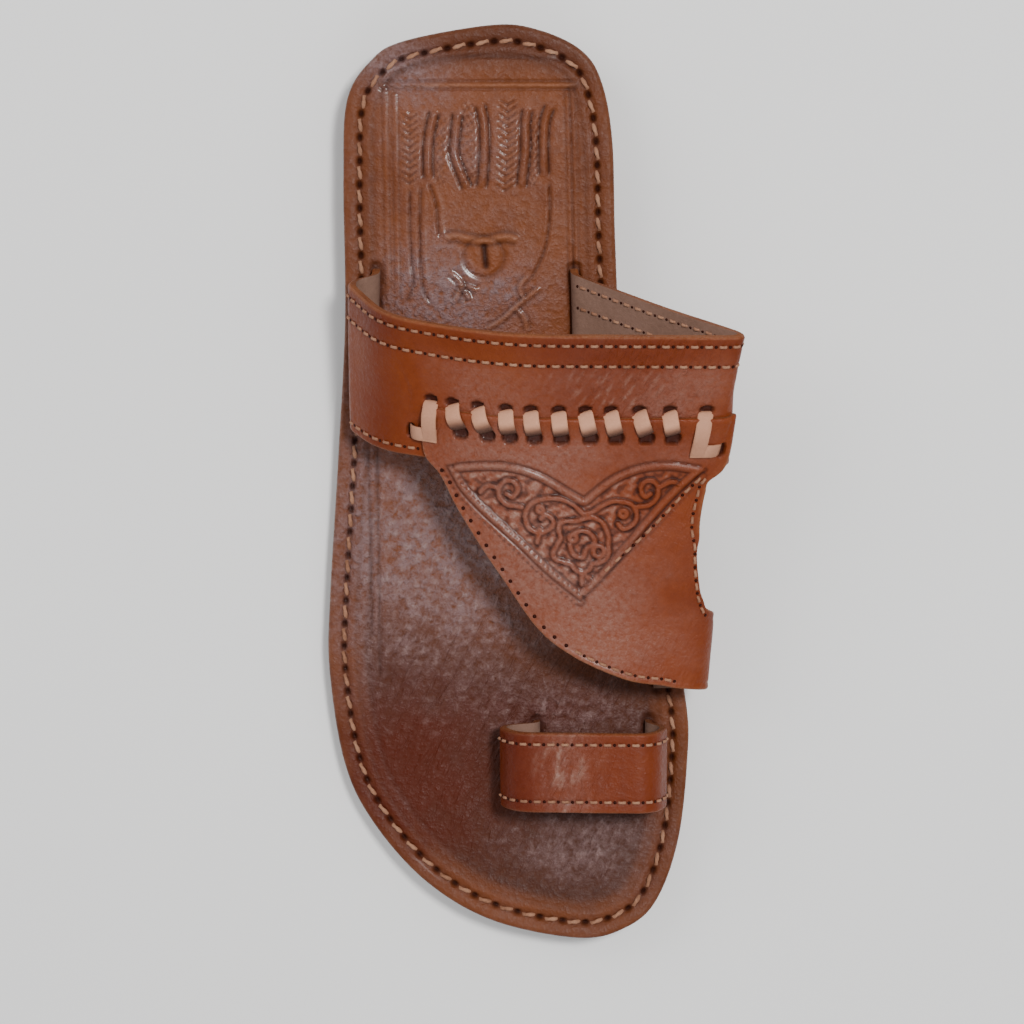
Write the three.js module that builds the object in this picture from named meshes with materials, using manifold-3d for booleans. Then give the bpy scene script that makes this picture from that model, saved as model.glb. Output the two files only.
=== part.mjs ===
import * as THREE from 'three';
import { mergeVertices } from 'three/addons/utils/BufferGeometryUtils.js';
import Module from 'manifold-3d';

// A leather sandal for the right foot, in millimetres.
// +Y points to the toe, +X to the outer side of the foot and +Z up.
// The origin is on the floor, at the middle of the heel's flat underside.

// Sizes of the sole
const soleLength = 275;
const ballWidth = 108;
const heelCentre = 36.7;
const outsoleThickness = 5;
const footbedThickness = 4.5;
const heelLift = 7;
const toeSpring = 7.5;
const outsoleInset = 0.5;
const edgeRound = 0.9;
const stitchInset = 4.9;
const grooveWidth = 2.6;
const grooveDepth = 0.7;
const heelBreastRadius = 60;

// Sizes of the upper, the toe loop and the thong
const instepHeight = 44;
const toeHeight = 24;
const bandThickness = 2.4;
const panelThickness = 2.2;
const panelSeat = 0.6;
const loopThickness = 2.2;
const thongWidth = 4.5;
const thongThickness = 1.2;

// Roundings of the straps' folds
const footRound = 2;
const footStraight = 1.6;
const sideRound = 6.5;
const shoulderRound = 9;
const crownRound = 21;
const foldRound = 8;
const wallRound = 13;
const loopRound = 6;

// Clearances
const gap = 0.3;
const cutOver = 2;

// Where the heel ends, the arch ends and the toe begins to rise, as shares of the length
const heelEnd = 0.26;
const archEnd = 0.5145;
const springStart = 0.7517;

// The sole's outline from the heel around the outer side to the toe and back:
// along is a share of the length from the heel, out a share of the ball width, outer side positive.
const outline = {
  columns: ['along', 'out'],
  heelTip: [0, -0.04],
  outer: [
    [0.017, 0.202],
    [0.038, 0.294],
    [0.081, 0.36],
    [0.166, 0.371],
    [0.315, 0.369],
    [0.472, 0.394],
    [0.6265, 0.4195],
    [0.7045, 0.4215],
    [0.8055, 0.382],
    [0.872, 0.303],
    [0.938, 0.153],
    [0.981, -0.037],
  ],
  toeTip: [1, -0.28],
  inner: [
    [0.989, -0.413],
    [0.9595, -0.5],
    [0.894, -0.562],
    [0.8055, -0.588],
    [0.7385, -0.583],
    [0.6, -0.513],
    [0.472, -0.44],
    [0.3515, -0.394],
    [0.2305, -0.377],
    [0.123, -0.368],
    [0.0595, -0.337],
    [0.0265, -0.2805],
    [0.0055, -0.167],
  ],
};

// The upper's sections, from the band's back edge to the front leg's front edge.
// Each runs from the outer slot over the instep to the inner slot. along is a share of the length,
// lean the slope towards the toe, out columns are shares of the ball width and up columns of the
// instep height.
const upperSections = {
  columns: [
    'along', 'lean', 'outerFoot', 'sideOut', 'sideUp', 'shoulderOut', 'shoulderUp',
    'crownOut', 'crownUp', 'foldOut', 'foldUp', 'wallOut', 'wallUp', 'innerFoot',
  ],
  rows: [
    [0.2608, 0.42, 0.281, 0.357, 0.2, 0.25, 0.68, -0.056, 0.965, -0.73, 0.99, -0.5, 0.58, -0.264],
    [0.4187, 0.42, 0.292, 0.354, 0.2, 0.268, 0.5, -0.074, 0.75, -0.699, 0.716, -0.481, 0.375, -0.287],
    [0.5408, 0.2, 0.278, 0.333, 0.18, 0.241, 0.455, -0.139, 0.682, -0.674, 0.614, -0.528, 0.295, -0.389],
    [0.6372, 0, 0.222, 0.278, 0.18, 0.167, 0.41, -0.231, 0.614, -0.643, 0.5, -0.574, 0.18, -0.458],
    [0.7244, -0.1, 0.185, 0.241, 0.16, 0.111, 0.386, -0.315, 0.614, -0.622, 0.432, -0.583, 0.16, -0.486],
  ],
};

// The front panel's two side edges on the upper's surface, from its top edge down to its leg.
// across is the share of a section's length and row the section, counted from the back edge.
const panelEdges = {
  columns: ['outerAcross', 'outerRow', 'innerAcross', 'innerRow'],
  rows: [
    [0.237, 0.585, 0.697, 0.585],
    [0.236, 0.94, 0.695, 0.98],
    [0.262, 1.13, 0.68, 1.13],
    [0.287, 1.414, 0.681, 1.24],
    [0.331, 1.865, 0.683, 1.35],
    [0.371, 2.295, 0.686, 1.46],
    [0.433, 3.03, 0.69, 1.58],
    [0.509, 3.463, 0.694, 1.67],
    [0.617, 3.786, 0.698, 1.75],
    [0.7, 3.87, 0.704, 1.88],
    [0.724, 3.9, 0.724, 2.33],
    [0.74, 3.91, 0.738, 2.58],
    [0.758, 3.92, 0.758, 2.79],
    [0.8, 3.95, 0.8, 2.93],
    [0.86, 3.97, 0.86, 2.97],
    [1, 4, 1, 3],
  ],
};

// The toe loop's two edges, in the same way, up in shares of its own height.
const loopSections = {
  columns: [
    'along', 'outerFoot', 'sideOut', 'sideUp', 'shoulderOut', 'shoulderUp',
    'foldOut', 'foldUp', 'wallOut', 'wallUp', 'innerFoot',
  ],
  rows: [
    [0.7595, -0.161, -0.052, 0.38, -0.1, 0.9, -0.482, 1, -0.521, 0.5, -0.478],
    [0.8458, -0.165, -0.056, 0.38, -0.104, 0.9, -0.482, 1, -0.521, 0.5, -0.478],
  ],
};

// The thong's visible turns: across of the hole above the panel's top edge and of the hole below it.
const lacing = {
  columns: ['topAcross', 'bottomAcross'],
  rows: [
    [0.281, 0.295],
    [0.319, 0.335],
    [0.36, 0.368],
    [0.396, 0.404],
    [0.436, 0.443],
    [0.474, 0.486],
    [0.511, 0.524],
    [0.552, 0.569],
    [0.596, 0.608],
  ],
  topRow: 0.545,
  stepRow: 0.58,
  bottomRow: 0.745,
  firstEnd: { across: 0.249, barRow: 0.79, barFrom: 0.215 },
  lastEnd: { across: 0.649, barRow: 0.835, barFrom: 0.683 },
};

const footbedTop = outsoleThickness + gap + footbedThickness;
const sectionSteps = 360;

const wasm = await Module();
wasm.setup();

function named(table) {
  return table.rows.map((row) => Object.fromEntries(table.columns.map((name, i) => [name, row[i]])));
}

function toSolid(geometry) {
  const bare = geometry.clone();
  bare.deleteAttribute('normal');
  bare.deleteAttribute('uv');
  const merged = mergeVertices(bare, 1e-4);
  return new wasm.Manifold(new wasm.Mesh({
    numProp: 3,
    vertProperties: new Float32Array(merged.attributes.position.array),
    triVerts: new Uint32Array(merged.index.array),
  }));
}

function toGeometry(solid) {
  const mesh = solid.getMesh();
  const geometry = new THREE.BufferGeometry();
  geometry.setAttribute('position', new THREE.BufferAttribute(mesh.vertProperties, 3));
  geometry.setIndex(new THREE.BufferAttribute(mesh.triVerts, 1));
  return geometry;
}

function fromTriangles(points, triangles) {
  const geometry = new THREE.BufferGeometry();
  geometry.setAttribute('position', new THREE.Float32BufferAttribute(points.flat(), 3));
  geometry.setIndex(triangles.flat());
  return geometry;
}

// How far the foot's plane is lifted above its forefoot level at a place along the sole.
function rise(y) {
  const along = (y + heelCentre) / soleLength;
  const arch = THREE.MathUtils.clamp((along - heelEnd) / (archEnd - heelEnd), 0, 1);
  const spring = Math.max(0, (along - springStart) / (1 - springStart));
  return heelLift * (0.5 + 0.5 * Math.cos(Math.PI * arch)) + toeSpring * spring ** 2;
}

function lengthwise(along) {
  return along * soleLength - heelCentre;
}

// Even points around the sole, each with its inward direction: heel tip, outer side, toe tip, inner side.
const sideSteps = 42;
function outlineRing() {
  const rows = [outline.heelTip, ...outline.outer, outline.toeTip, ...outline.inner];
  const points = rows.map(([along, out]) => new THREE.Vector3(out * ballWidth, lengthwise(along), 0));
  const curve = new THREE.CatmullRomCurve3(points, true, 'catmullrom', 0.5);
  curve.arcLengthDivisions = 1200;
  curve.updateArcLengths();
  const lengths = curve.getLengths();
  const toeAt = (outline.outer.length + 1) / rows.length;
  const toeShare = lengths[Math.round(toeAt * curve.arcLengthDivisions)] / lengths[lengths.length - 1];
  const ring = [];
  for (let i = 0; i < 2 * sideSteps; i++) {
    const share = i < sideSteps
      ? toeShare * i / sideSteps
      : toeShare + (1 - toeShare) * (i - sideSteps) / sideSteps;
    const point = curve.getPointAt(share);
    const tangent = curve.getTangentAt(share);
    ring.push({ point, inward: new THREE.Vector3(tangent.y, -tangent.x, 0).multiplyScalar(-1) });
  }
  return ring;
}
const ring = outlineRing();

// A plate with the sole's outline, through rings given as inset and height, bottom first.
function plate(profile, lifted = rise) {
  const points = [];
  const triangles = [];
  const count = ring.length;
  for (const { inset, height } of profile) {
    for (const { point, inward } of ring) {
      const x = point.x + inward.x * inset;
      const y = point.y + inward.y * inset;
      points.push([x, y, height + lifted(y)]);
    }
  }
  for (let k = 0; k + 1 < profile.length; k++) {
    for (let i = 0; i < count; i++) {
      const j = (i + 1) % count;
      const a = k * count;
      const b = a + count;
      triangles.push([a + i, a + j, b + j], [a + i, b + j, b + i]);
    }
  }
  const cap = (first, up) => {
    for (let i = 0; i < sideSteps; i++) {
      const outer = [first + i, first + i + 1];
      const inner = [first + (count - i) % count, first + count - i - 1];
      for (const face of [[outer[0], outer[1], inner[1]], [outer[0], inner[1], inner[0]]]) {
        if (new Set(face).size === 3) {
          triangles.push(up ? face : [face[0], face[2], face[1]]);
        }
      }
    }
  };
  cap(0, false);
  cap((profile.length - 1) * count, true);
  return toSolid(outward(fromTriangles(points, triangles)));
}

// Turns the faces of a closed geometry so that they point out.
function outward(geometry) {
  const position = geometry.attributes.position;
  const index = geometry.index.array;
  const [a, b, c] = [new THREE.Vector3(), new THREE.Vector3(), new THREE.Vector3()];
  let volume = 0;
  for (let i = 0; i < index.length; i += 3) {
    a.fromBufferAttribute(position, index[i]);
    b.fromBufferAttribute(position, index[i + 1]);
    c.fromBufferAttribute(position, index[i + 2]);
    volume += a.dot(b.cross(c));
  }
  if (volume < 0) {
    for (let i = 0; i < index.length; i += 3) {
      [index[i + 1], index[i + 2]] = [index[i + 2], index[i + 1]];
    }
  }
  return geometry;
}

// A wall between two offsets: place(a, b, n) gives its point for shares a and b and the offset n.
function wall(place, cellsA, cellsB, low, high) {
  const points = [];
  const triangles = [];
  const at = (layer, i, j) => (layer * (cellsA + 1) + i) * (cellsB + 1) + j;
  for (const layer of [0, 1]) {
    for (let i = 0; i <= cellsA; i++) {
      for (let j = 0; j <= cellsB; j++) {
        const [a, b] = [i / cellsA, j / cellsB];
        const n = [low, high][layer];
        points.push(place(a, b, typeof n === 'function' ? n(a, b) : n).toArray());
      }
    }
  }
  const quad = (p, q, r, s) => triangles.push([p, q, r], [p, r, s]);
  for (let i = 0; i < cellsA; i++) {
    for (let j = 0; j < cellsB; j++) {
      quad(at(1, i, j), at(1, i + 1, j), at(1, i + 1, j + 1), at(1, i, j + 1));
      quad(at(0, i, j), at(0, i, j + 1), at(0, i + 1, j + 1), at(0, i + 1, j));
    }
    quad(at(0, i, 0), at(0, i + 1, 0), at(1, i + 1, 0), at(1, i, 0));
    quad(at(0, i + 1, cellsB), at(0, i, cellsB), at(1, i, cellsB), at(1, i + 1, cellsB));
  }
  for (let j = 0; j < cellsB; j++) {
    quad(at(0, 0, j + 1), at(0, 0, j), at(1, 0, j), at(1, 0, j + 1));
    quad(at(0, cellsA, j), at(0, cellsA, j + 1), at(1, cellsA, j + 1), at(1, cellsA, j));
  }
  return toSolid(outward(fromTriangles(points, triangles)));
}

// One section as even points: a path of straight runs with rounded corners, legs down into the footbed.
function sectionPoints(outerFoot, innerFoot, corners, along, lean) {
  const bottom = gap - footbedThickness;
  const nodes = [
    [outerFoot, bottom],
    [outerFoot, footRound + footStraight],
    ...corners.map(({ out, up }) => [out, up]),
    [innerFoot, footRound + footStraight],
    [innerFoot, bottom],
  ].map(([x, z]) => new THREE.Vector2(x, z));
  const rounds = [footRound, ...corners.map(({ round }) => round), footRound];
  const path = new THREE.Path();
  path.moveTo(nodes[0].x, nodes[0].y);
  rounds.forEach((round, i) => {
    const corner = nodes[i + 1];
    const back = nodes[i].clone().sub(corner);
    const ahead = nodes[i + 2].clone().sub(corner);
    const reach = Math.min(round, 0.48 * back.length(), 0.48 * ahead.length());
    const start = corner.clone().add(back.setLength(reach));
    const end = corner.clone().add(ahead.setLength(reach));
    path.lineTo(start.x, start.y);
    path.quadraticCurveTo(corner.x, corner.y, end.x, end.y);
  });
  path.lineTo(nodes[nodes.length - 1].x, nodes[nodes.length - 1].y);
  path.curves.forEach((curve) => {
    curve.arcLengthDivisions = 40;
  });
  const base = lengthwise(along);
  return path.getSpacedPoints(sectionSteps)
    .map(({ x, y: z }) => new THREE.Vector3(x, base + lean * Math.max(0, z), z));
}

// The surface through sections: surface(across, row, n) gives the point at the offset n on its outside.
function surfaceThrough(sections) {
  const last = sections.length - 1;
  const onSection = (k, across) => {
    const place = THREE.MathUtils.clamp(across, 0, 1) * sectionSteps;
    const i = Math.min(sectionSteps - 1, Math.floor(place));
    return sections[k].at(i).clone().lerp(sections[k].at(i + 1), place - i);
  };
  const middle = (across, row) => {
    const k = THREE.MathUtils.clamp(Math.floor(row), 0, last - 1);
    const [p1, p2] = [onSection(k, across), onSection(k + 1, across)];
    const p0 = k > 0 ? onSection(k - 1, across) : p1.clone().multiplyScalar(2).sub(p2);
    const p3 = k + 2 <= last ? onSection(k + 2, across) : p2.clone().multiplyScalar(2).sub(p1);
    const t = row - k;
    return new THREE.Vector3(
      ...['x', 'y', 'z'].map((c) => 0.5 * (2 * p1[c] + (p2[c] - p0[c]) * t
        + (2 * p0[c] - 5 * p1[c] + 4 * p2[c] - p3[c]) * t ** 2
        + (3 * p1[c] - p0[c] - 3 * p2[c] + p3[c]) * t ** 3)),
    );
  };
  const step = 0.002;
  return (across, row, n) => {
    const point = middle(across, row);
    const alongWay = middle(across, row + step).sub(middle(across, row - step));
    const acrossWay = middle(Math.min(1, across + step), row).sub(middle(Math.max(0, across - step), row));
    point.addScaledVector(alongWay.cross(acrossWay).normalize(), n);
    point.z += footbedTop + rise(point.y);
    return point;
  };
}

// The slot that a strap's foot passes through, as a cutter: the foot's own wall, wider by the clearance.
function slotCutter(surface, across, rowFrom, rowTo, low, high) {
  const margin = gap / surface(across, rowFrom, 0).distanceTo(surface(across, rowTo, 0)) * (rowTo - rowFrom);
  return wall((a, b, n) => {
    const row = THREE.MathUtils.lerp(rowFrom - margin, rowTo + margin, b);
    const point = surface(across, row, n);
    const bottom = outsoleThickness + rise(point.y) - cutOver;
    point.z = bottom + a * (footbedThickness + gap + 2 * cutOver);
    return point;
  }, 1, 4, low - gap, high + gap);
}

// The upper's surface
const upperSurface = surfaceThrough(named(upperSections).map((row) => sectionPoints(
  row.outerFoot * ballWidth,
  row.innerFoot * ballWidth,
  [
    { out: row.sideOut * ballWidth, up: row.sideUp * instepHeight, round: sideRound },
    { out: row.shoulderOut * ballWidth, up: row.shoulderUp * instepHeight, round: shoulderRound },
    { out: row.crownOut * ballWidth, up: row.crownUp * instepHeight, round: crownRound },
    { out: row.foldOut * ballWidth, up: row.foldUp * instepHeight, round: foldRound },
    { out: row.wallOut * ballWidth, up: row.wallUp * instepHeight, round: wallRound },
  ],
  row.along,
  row.lean,
)));

// The toe loop's surface
const loopSurface = surfaceThrough(named(loopSections).map((row) => sectionPoints(
  row.outerFoot * ballWidth,
  row.innerFoot * ballWidth,
  [
    { out: row.sideOut * ballWidth, up: row.sideUp * toeHeight, round: loopRound },
    { out: row.shoulderOut * ballWidth, up: row.shoulderUp * toeHeight, round: loopRound },
    { out: row.foldOut * ballWidth, up: row.foldUp * toeHeight, round: loopRound },
    { out: row.wallOut * ballWidth, up: row.wallUp * toeHeight, round: loopRound },
  ],
  row.along,
  0,
)));

// Offsets of the band and the panel from the upper's middle surface, inside to outside
const bandOffset = [-bandThickness / 2, bandThickness / 2];
const panelOffset = [bandThickness / 2 - panelSeat, bandThickness / 2 - panelSeat + panelThickness];
const loopOffset = [-loopThickness / 2, loopThickness / 2];
const legRows = [3, 4];

function makeOutsole() {
  const top = outsoleThickness;
  const sole = plate([
    { inset: outsoleInset + edgeRound, height: 0 },
    { inset: outsoleInset, height: edgeRound },
    { inset: outsoleInset, height: top },
  ]);
  const block = plate([
    { inset: outsoleInset + edgeRound, height: 0 },
    { inset: outsoleInset, height: edgeRound },
    { inset: outsoleInset, height: heelLift + top / 2 },
  ], () => 0);
  // The heel's front is hollowed by a round cutter.
  const front = lengthwise(heelEnd) - ballWidth / 20;
  const cutter = new THREE.CylinderGeometry(heelBreastRadius, heelBreastRadius, 4 * footbedTop, 96)
    .rotateX(Math.PI / 2)
    .translate(0, front + heelBreastRadius, 0);
  const beyond = new THREE.BoxGeometry(2 * ballWidth, soleLength, 4 * footbedTop)
    .translate(0, front + heelBreastRadius / 4 + soleLength / 2, 0);
  return toGeometry(sole.add(block.subtract(toSolid(cutter)).subtract(toSolid(beyond))));
}

function makeFootbed() {
  const base = outsoleThickness + gap;
  const top = footbedTop;
  let footbed = plate([
    { inset: outsoleInset, height: base },
    { inset: 0, height: base + outsoleInset },
    { inset: 0, height: top - edgeRound },
    { inset: edgeRound, height: top },
    { inset: stitchInset - grooveWidth / 2, height: top },
    { inset: stitchInset, height: top - grooveDepth },
    { inset: stitchInset + grooveWidth / 2, height: top },
  ]);
  const slots = [
    slotCutter(upperSurface, 0, 0, 1, ...bandOffset),
    slotCutter(upperSurface, 1, 0, 1, ...bandOffset),
    slotCutter(upperSurface, 1, ...legRows, ...panelOffset),
    slotCutter(loopSurface, 0, 0, 1, ...loopOffset),
    slotCutter(loopSurface, 1, 0, 1, ...loopOffset),
  ];
  for (const slot of slots) {
    footbed = footbed.subtract(slot);
  }
  return toGeometry(footbed);
}

// Sizes of the surface where the thong runs, to turn millimetres into shares
const laceRow = (lacing.topRow + lacing.bottomRow) / 2;
const acrossLength = [...Array(100).keys()].reduce((sum, i) => (
  sum + upperSurface(i / 100, laceRow, 0).distanceTo(upperSurface((i + 1) / 100, laceRow, 0))), 0);
const rowLength = upperSurface(0.45, 0, 0).distanceTo(upperSurface(0.45, 1, 0));

// A strip of thong on the surface through stations, each [across, row, offset of its underside].
function strip(stations, lift = 0) {
  const [first, last] = [stations[0], stations[stations.length - 1]];
  const way = new THREE.Vector2((last[0] - first[0]) * acrossLength, (last[1] - first[1]) * rowLength);
  const side = new THREE.Vector2(-way.y, way.x).setLength(thongWidth / 2);
  const cells = stations.length - 1;
  const station = (a) => stations[Math.round(a * cells)];
  const place = (a, b, n) => upperSurface(
    station(a)[0] + (2 * b - 1) * side.x / acrossLength,
    station(a)[1] + (2 * b - 1) * side.y / rowLength,
    n,
  );
  return wall(place, cells, 1, (a) => station(a)[2] + lift, (a) => station(a)[2] + lift + thongThickness);
}

// Stations between two places at one offset.
function run(from, to, offset, cells = 2) {
  return [...Array(cells + 1).keys()].map((i) => [
    THREE.MathUtils.lerp(from[0], to[0], i / cells),
    THREE.MathUtils.lerp(from[1], to[1], i / cells),
    offset,
  ]);
}

// A short upright through a slit. Its width lies across the surface, or along it when turned.
// The margin widens it to the slit's cutter.
function upright(across, row, low, high, margin = 0, turned = false) {
  const [wide, thin] = [thongWidth / 2 + margin, thongThickness / 2 + margin];
  const halfAcross = (turned ? thin : wide) / acrossLength;
  const halfRow = (turned ? wide : thin) / rowLength;
  return wall((a, b, n) => upperSurface(
    across + (2 * a - 1) * halfAcross,
    row + (2 * b - 1) * halfRow,
    n,
  ), 1, 1, low, high);
}

const overPanel = panelOffset[1] + gap;
const overBand = bandOffset[1] + gap;
const underBand = bandOffset[0] - gap - thongThickness;
// The end bars lie a little proud of the turns that they cross; uprights end inside the runs they join.
const barLift = 0.35;
const slitSeat = 0.2;

// The places of the thong's slits: two for each turn, and for each end one above the panel and one
// beside its bar.
function thongSlits() {
  const { rows, topRow, bottomRow, firstEnd, lastEnd } = lacing;
  const slits = [];
  for (const { across, barRow, barFrom } of [firstEnd, lastEnd]) {
    slits.push([across, topRow, false], [barFrom, barRow, true]);
  }
  for (const [topAcross, bottomAcross] of rows) {
    slits.push([topAcross, topRow, false], [bottomAcross, bottomRow, false]);
  }
  return slits;
}

function makeThong() {
  const { rows, topRow, stepRow, bottomRow, firstEnd, lastEnd } = lacing;
  const halfRow = thongThickness / 2 / rowLength;
  const pieces = [];
  const turn = (topAcross, bottomAcross, endRow) => {
    const stepAcross = THREE.MathUtils.mapLinear(stepRow, topRow, bottomRow, topAcross, bottomAcross);
    pieces.push(strip([
      [topAcross, topRow - halfRow, overBand],
      [stepAcross, stepRow, overPanel],
      ...run([stepAcross, stepRow], [bottomAcross, endRow + halfRow], overPanel).slice(1),
    ]));
  };
  let hole = [firstEnd.across, topRow];
  turn(firstEnd.across, firstEnd.across, firstEnd.barRow);
  for (const [topAcross, bottomAcross] of rows) {
    pieces.push(strip(run(hole, [topAcross, topRow], underBand)));
    turn(topAcross, bottomAcross, bottomRow);
    hole = [bottomAcross, bottomRow];
  }
  pieces.push(strip(run(hole, [lastEnd.across, topRow], underBand)));
  turn(lastEnd.across, lastEnd.across, lastEnd.barRow);
  for (const { across, barRow, barFrom } of [firstEnd, lastEnd]) {
    const halfAcross = Math.sign(across - barFrom) * thongWidth / 2 / acrossLength;
    pieces.push(strip(run([barFrom - halfAcross / 4, barRow], [across + halfAcross, barRow], overPanel),
      barLift));
  }
  for (const [across, row, turned] of thongSlits()) {
    const top = row === topRow ? overBand : overPanel;
    pieces.push(upright(across, row, underBand + slitSeat, top + thongThickness - slitSeat, 0, turned));
  }
  return toGeometry(pieces.reduce((whole, piece) => whole.add(piece)));
}

function makeUpper() {
  const band = wall((a, b, n) => upperSurface(a, b, n), 72, 4, ...bandOffset);
  const edgePoints = (acrossColumn, rowColumn) => named(panelEdges)
    .map((row) => new THREE.Vector3(row[acrossColumn], row[rowColumn], 0));
  const outerEdge = new THREE.CatmullRomCurve3(edgePoints('outerAcross', 'outerRow'));
  const innerEdge = new THREE.CatmullRomCurve3(edgePoints('innerAcross', 'innerRow'));
  const panel = wall((a, b, n) => {
    const place = outerEdge.getPoint(b).lerp(innerEdge.getPoint(b), a);
    return upperSurface(place.x, place.y, n);
  }, 16, 45, ...panelOffset);
  let upper = band.add(panel);
  for (const [across, row, turned] of thongSlits()) {
    upper = upper.subtract(upright(across, row, underBand, overPanel + thongThickness, gap, turned));
  }
  return toGeometry(upper);
}

function makeToeLoop() {
  return toGeometry(wall((a, b, n) => loopSurface(a, b, n), 44, 2, ...loopOffset));
}

const materials = {
  soleLeather: new THREE.MeshStandardMaterial({ color: 0x6b3a22, roughness: 0.75, metalness: 0 }),
  footbedLeather: new THREE.MeshStandardMaterial({ color: 0x7d4023, roughness: 0.55, metalness: 0 }),
  strapLeather: new THREE.MeshStandardMaterial({ color: 0x86401c, roughness: 0.4, metalness: 0 }),
  thongLeather: new THREE.MeshStandardMaterial({ color: 0xc4a08c, roughness: 0.7, metalness: 0 }),
};

const sandal = new THREE.Group();
for (const [name, geometry, material] of [
  ['outsole', makeOutsole(), materials.soleLeather],
  ['footbed', makeFootbed(), materials.footbedLeather],
  ['upper', makeUpper(), materials.strapLeather],
  ['toe_loop', makeToeLoop(), materials.strapLeather],
  ['lacing_thong', makeThong(), materials.thongLeather],
]) {
  const mesh = new THREE.Mesh(geometry, material);
  mesh.name = name;
  sandal.add(mesh);
}

export default sandal;
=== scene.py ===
import bpy
import math
import numpy as np
from mathutils import Matrix, Vector


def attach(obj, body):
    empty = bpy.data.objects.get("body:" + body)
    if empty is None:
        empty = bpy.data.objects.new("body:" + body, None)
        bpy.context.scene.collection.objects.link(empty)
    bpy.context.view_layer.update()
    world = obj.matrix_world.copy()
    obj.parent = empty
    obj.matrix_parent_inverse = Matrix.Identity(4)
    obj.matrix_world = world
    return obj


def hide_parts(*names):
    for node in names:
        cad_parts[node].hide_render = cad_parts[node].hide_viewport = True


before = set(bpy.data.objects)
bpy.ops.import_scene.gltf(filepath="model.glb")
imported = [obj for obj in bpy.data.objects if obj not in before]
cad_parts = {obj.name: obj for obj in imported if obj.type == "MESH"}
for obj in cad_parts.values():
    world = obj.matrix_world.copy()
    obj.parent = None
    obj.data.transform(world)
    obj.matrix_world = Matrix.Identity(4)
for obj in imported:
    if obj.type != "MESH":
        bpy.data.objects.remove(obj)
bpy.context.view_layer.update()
print("frame loaded:", sorted(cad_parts))

mm = 0.001

# the sandal's own sizes, in millimetres, the same as the frame's
sandal = {
    "soleLength": 275.0,
    "ballWidth": 108.0,
    "heelCentre": 36.7,
    "outsole": 5.0,
    "footbed": 4.5,
    "glueGap": 0.3,
    "heelLift": 7.0,
    "toeSpring": 7.5,
    "heelEnd": 0.26,
    "archEnd": 0.5145,
    "springStart": 0.7517,
    "heelBreastRadius": 60.0,
    "instepHeight": 44.0,
    "toeHeight": 24.0,
    "band": 2.4,
    "panel": 2.2,
    "panelSeat": 0.6,
    "loop": 2.2,
    "stitchInset": 4.9,
}
footbedTop = sandal["outsole"] + sandal["glueGap"] + sandal["footbed"]

# almost straight down, a little from the heel side, with the toe towards the bottom of the picture
cameraSetup = {
    "target": (-10.0, 108.5, footbedTop),
    "distance": 900.0,
    "tilt": 6.0,
    "pixelsPerMm": 3.31,
    "framePixels": 1024,
    "sensor": 36.0,
}


def addCamera(setup):
    tilt = math.radians(setup["tilt"])
    back = Vector((0, -math.sin(tilt), math.cos(tilt)))
    right = Vector((-1, 0, 0))
    up = back.cross(right)
    place = (Vector(setup["target"]) + back * setup["distance"]) * mm
    data = bpy.data.cameras.new("camera")
    data.sensor_width = setup["sensor"]
    data.lens = setup["distance"] * setup["pixelsPerMm"] * setup["sensor"] / setup["framePixels"]
    data.clip_end = 10
    cam = bpy.data.objects.new("camera", data)
    cam.matrix_world = Matrix((
        (right.x, up.x, back.x, place.x),
        (right.y, up.y, back.y, place.y),
        (right.z, up.z, back.z, place.z),
        (0, 0, 0, 1),
    ))
    bpy.context.scene.collection.objects.link(cam)
    bpy.context.scene.camera = cam


addCamera(cameraSetup)


# small helpers for curves, masks and soft unevenness


def alongCurve(points, shares):
    # places at shares of an open polyline's length, with unit tangents and the length
    steps = np.linalg.norm(np.diff(points, axis=0), axis=1)
    length = np.concatenate([[0], np.cumsum(steps)])
    at = np.asarray(shares, float) * length[-1]

    def on(where):
        return np.stack([np.interp(where, length, points[:, k]) for k in range(points.shape[1])], -1)

    tangent = on(at + 0.6) - on(at - 0.6)
    tangent /= np.linalg.norm(tangent, axis=-1, keepdims=True)
    return on(at), tangent, length[-1]


def curveThrough(points, steps, closed=False):
    pts = np.asarray(points, float)
    if closed:
        p0, p1, p2, p3 = np.roll(pts, 1, 0), pts, np.roll(pts, -1, 0), np.roll(pts, -2, 0)
    else:
        padded = np.vstack([2 * pts[0] - pts[1], pts, 2 * pts[-1] - pts[-2]])
        p0, p1, p2, p3 = padded[:-3], padded[1:-2], padded[2:-1], padded[3:]
    t = (np.arange(steps) / steps)[None, :, None]
    p0, p1, p2, p3 = (p[:, None, :] for p in (p0, p1, p2, p3))
    curve = 0.5 * (2 * p1 + (p2 - p0) * t + (2 * p0 - 5 * p1 + 4 * p2 - p3) * t ** 2
                   + (3 * p1 - p0 - 3 * p2 + p3) * t ** 3)
    curve = curve.reshape(-1, pts.shape[1])
    return curve if closed else np.vstack([curve, pts[-1]])


def lineDistance(xy, polyline):
    # distance to a polyline, and the share of its length at the nearest place
    line = np.asarray(polyline, float)
    lengths = np.linalg.norm(np.diff(line, axis=0), axis=1)
    before = np.concatenate([[0], np.cumsum(lengths)])
    best = np.full(len(xy), 1e9)
    share = np.zeros(len(xy))
    for k, way in enumerate(np.diff(line, axis=0)):
        offset = xy - line[k]
        t = np.clip(offset @ way / max(1e-9, way @ way), 0, 1)
        gap = np.linalg.norm(offset - t[:, None] * way, axis=1)
        closer = gap < best
        best[closer] = gap[closer]
        share[closer] = (before[k] + t[closer] * lengths[k]) / before[-1]
    return best, share


def walkLength(points):
    return float(np.linalg.norm(np.diff(points, axis=0), axis=1).sum())


def near(distance, width):
    return np.exp(-(distance / width) ** 2)


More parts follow.
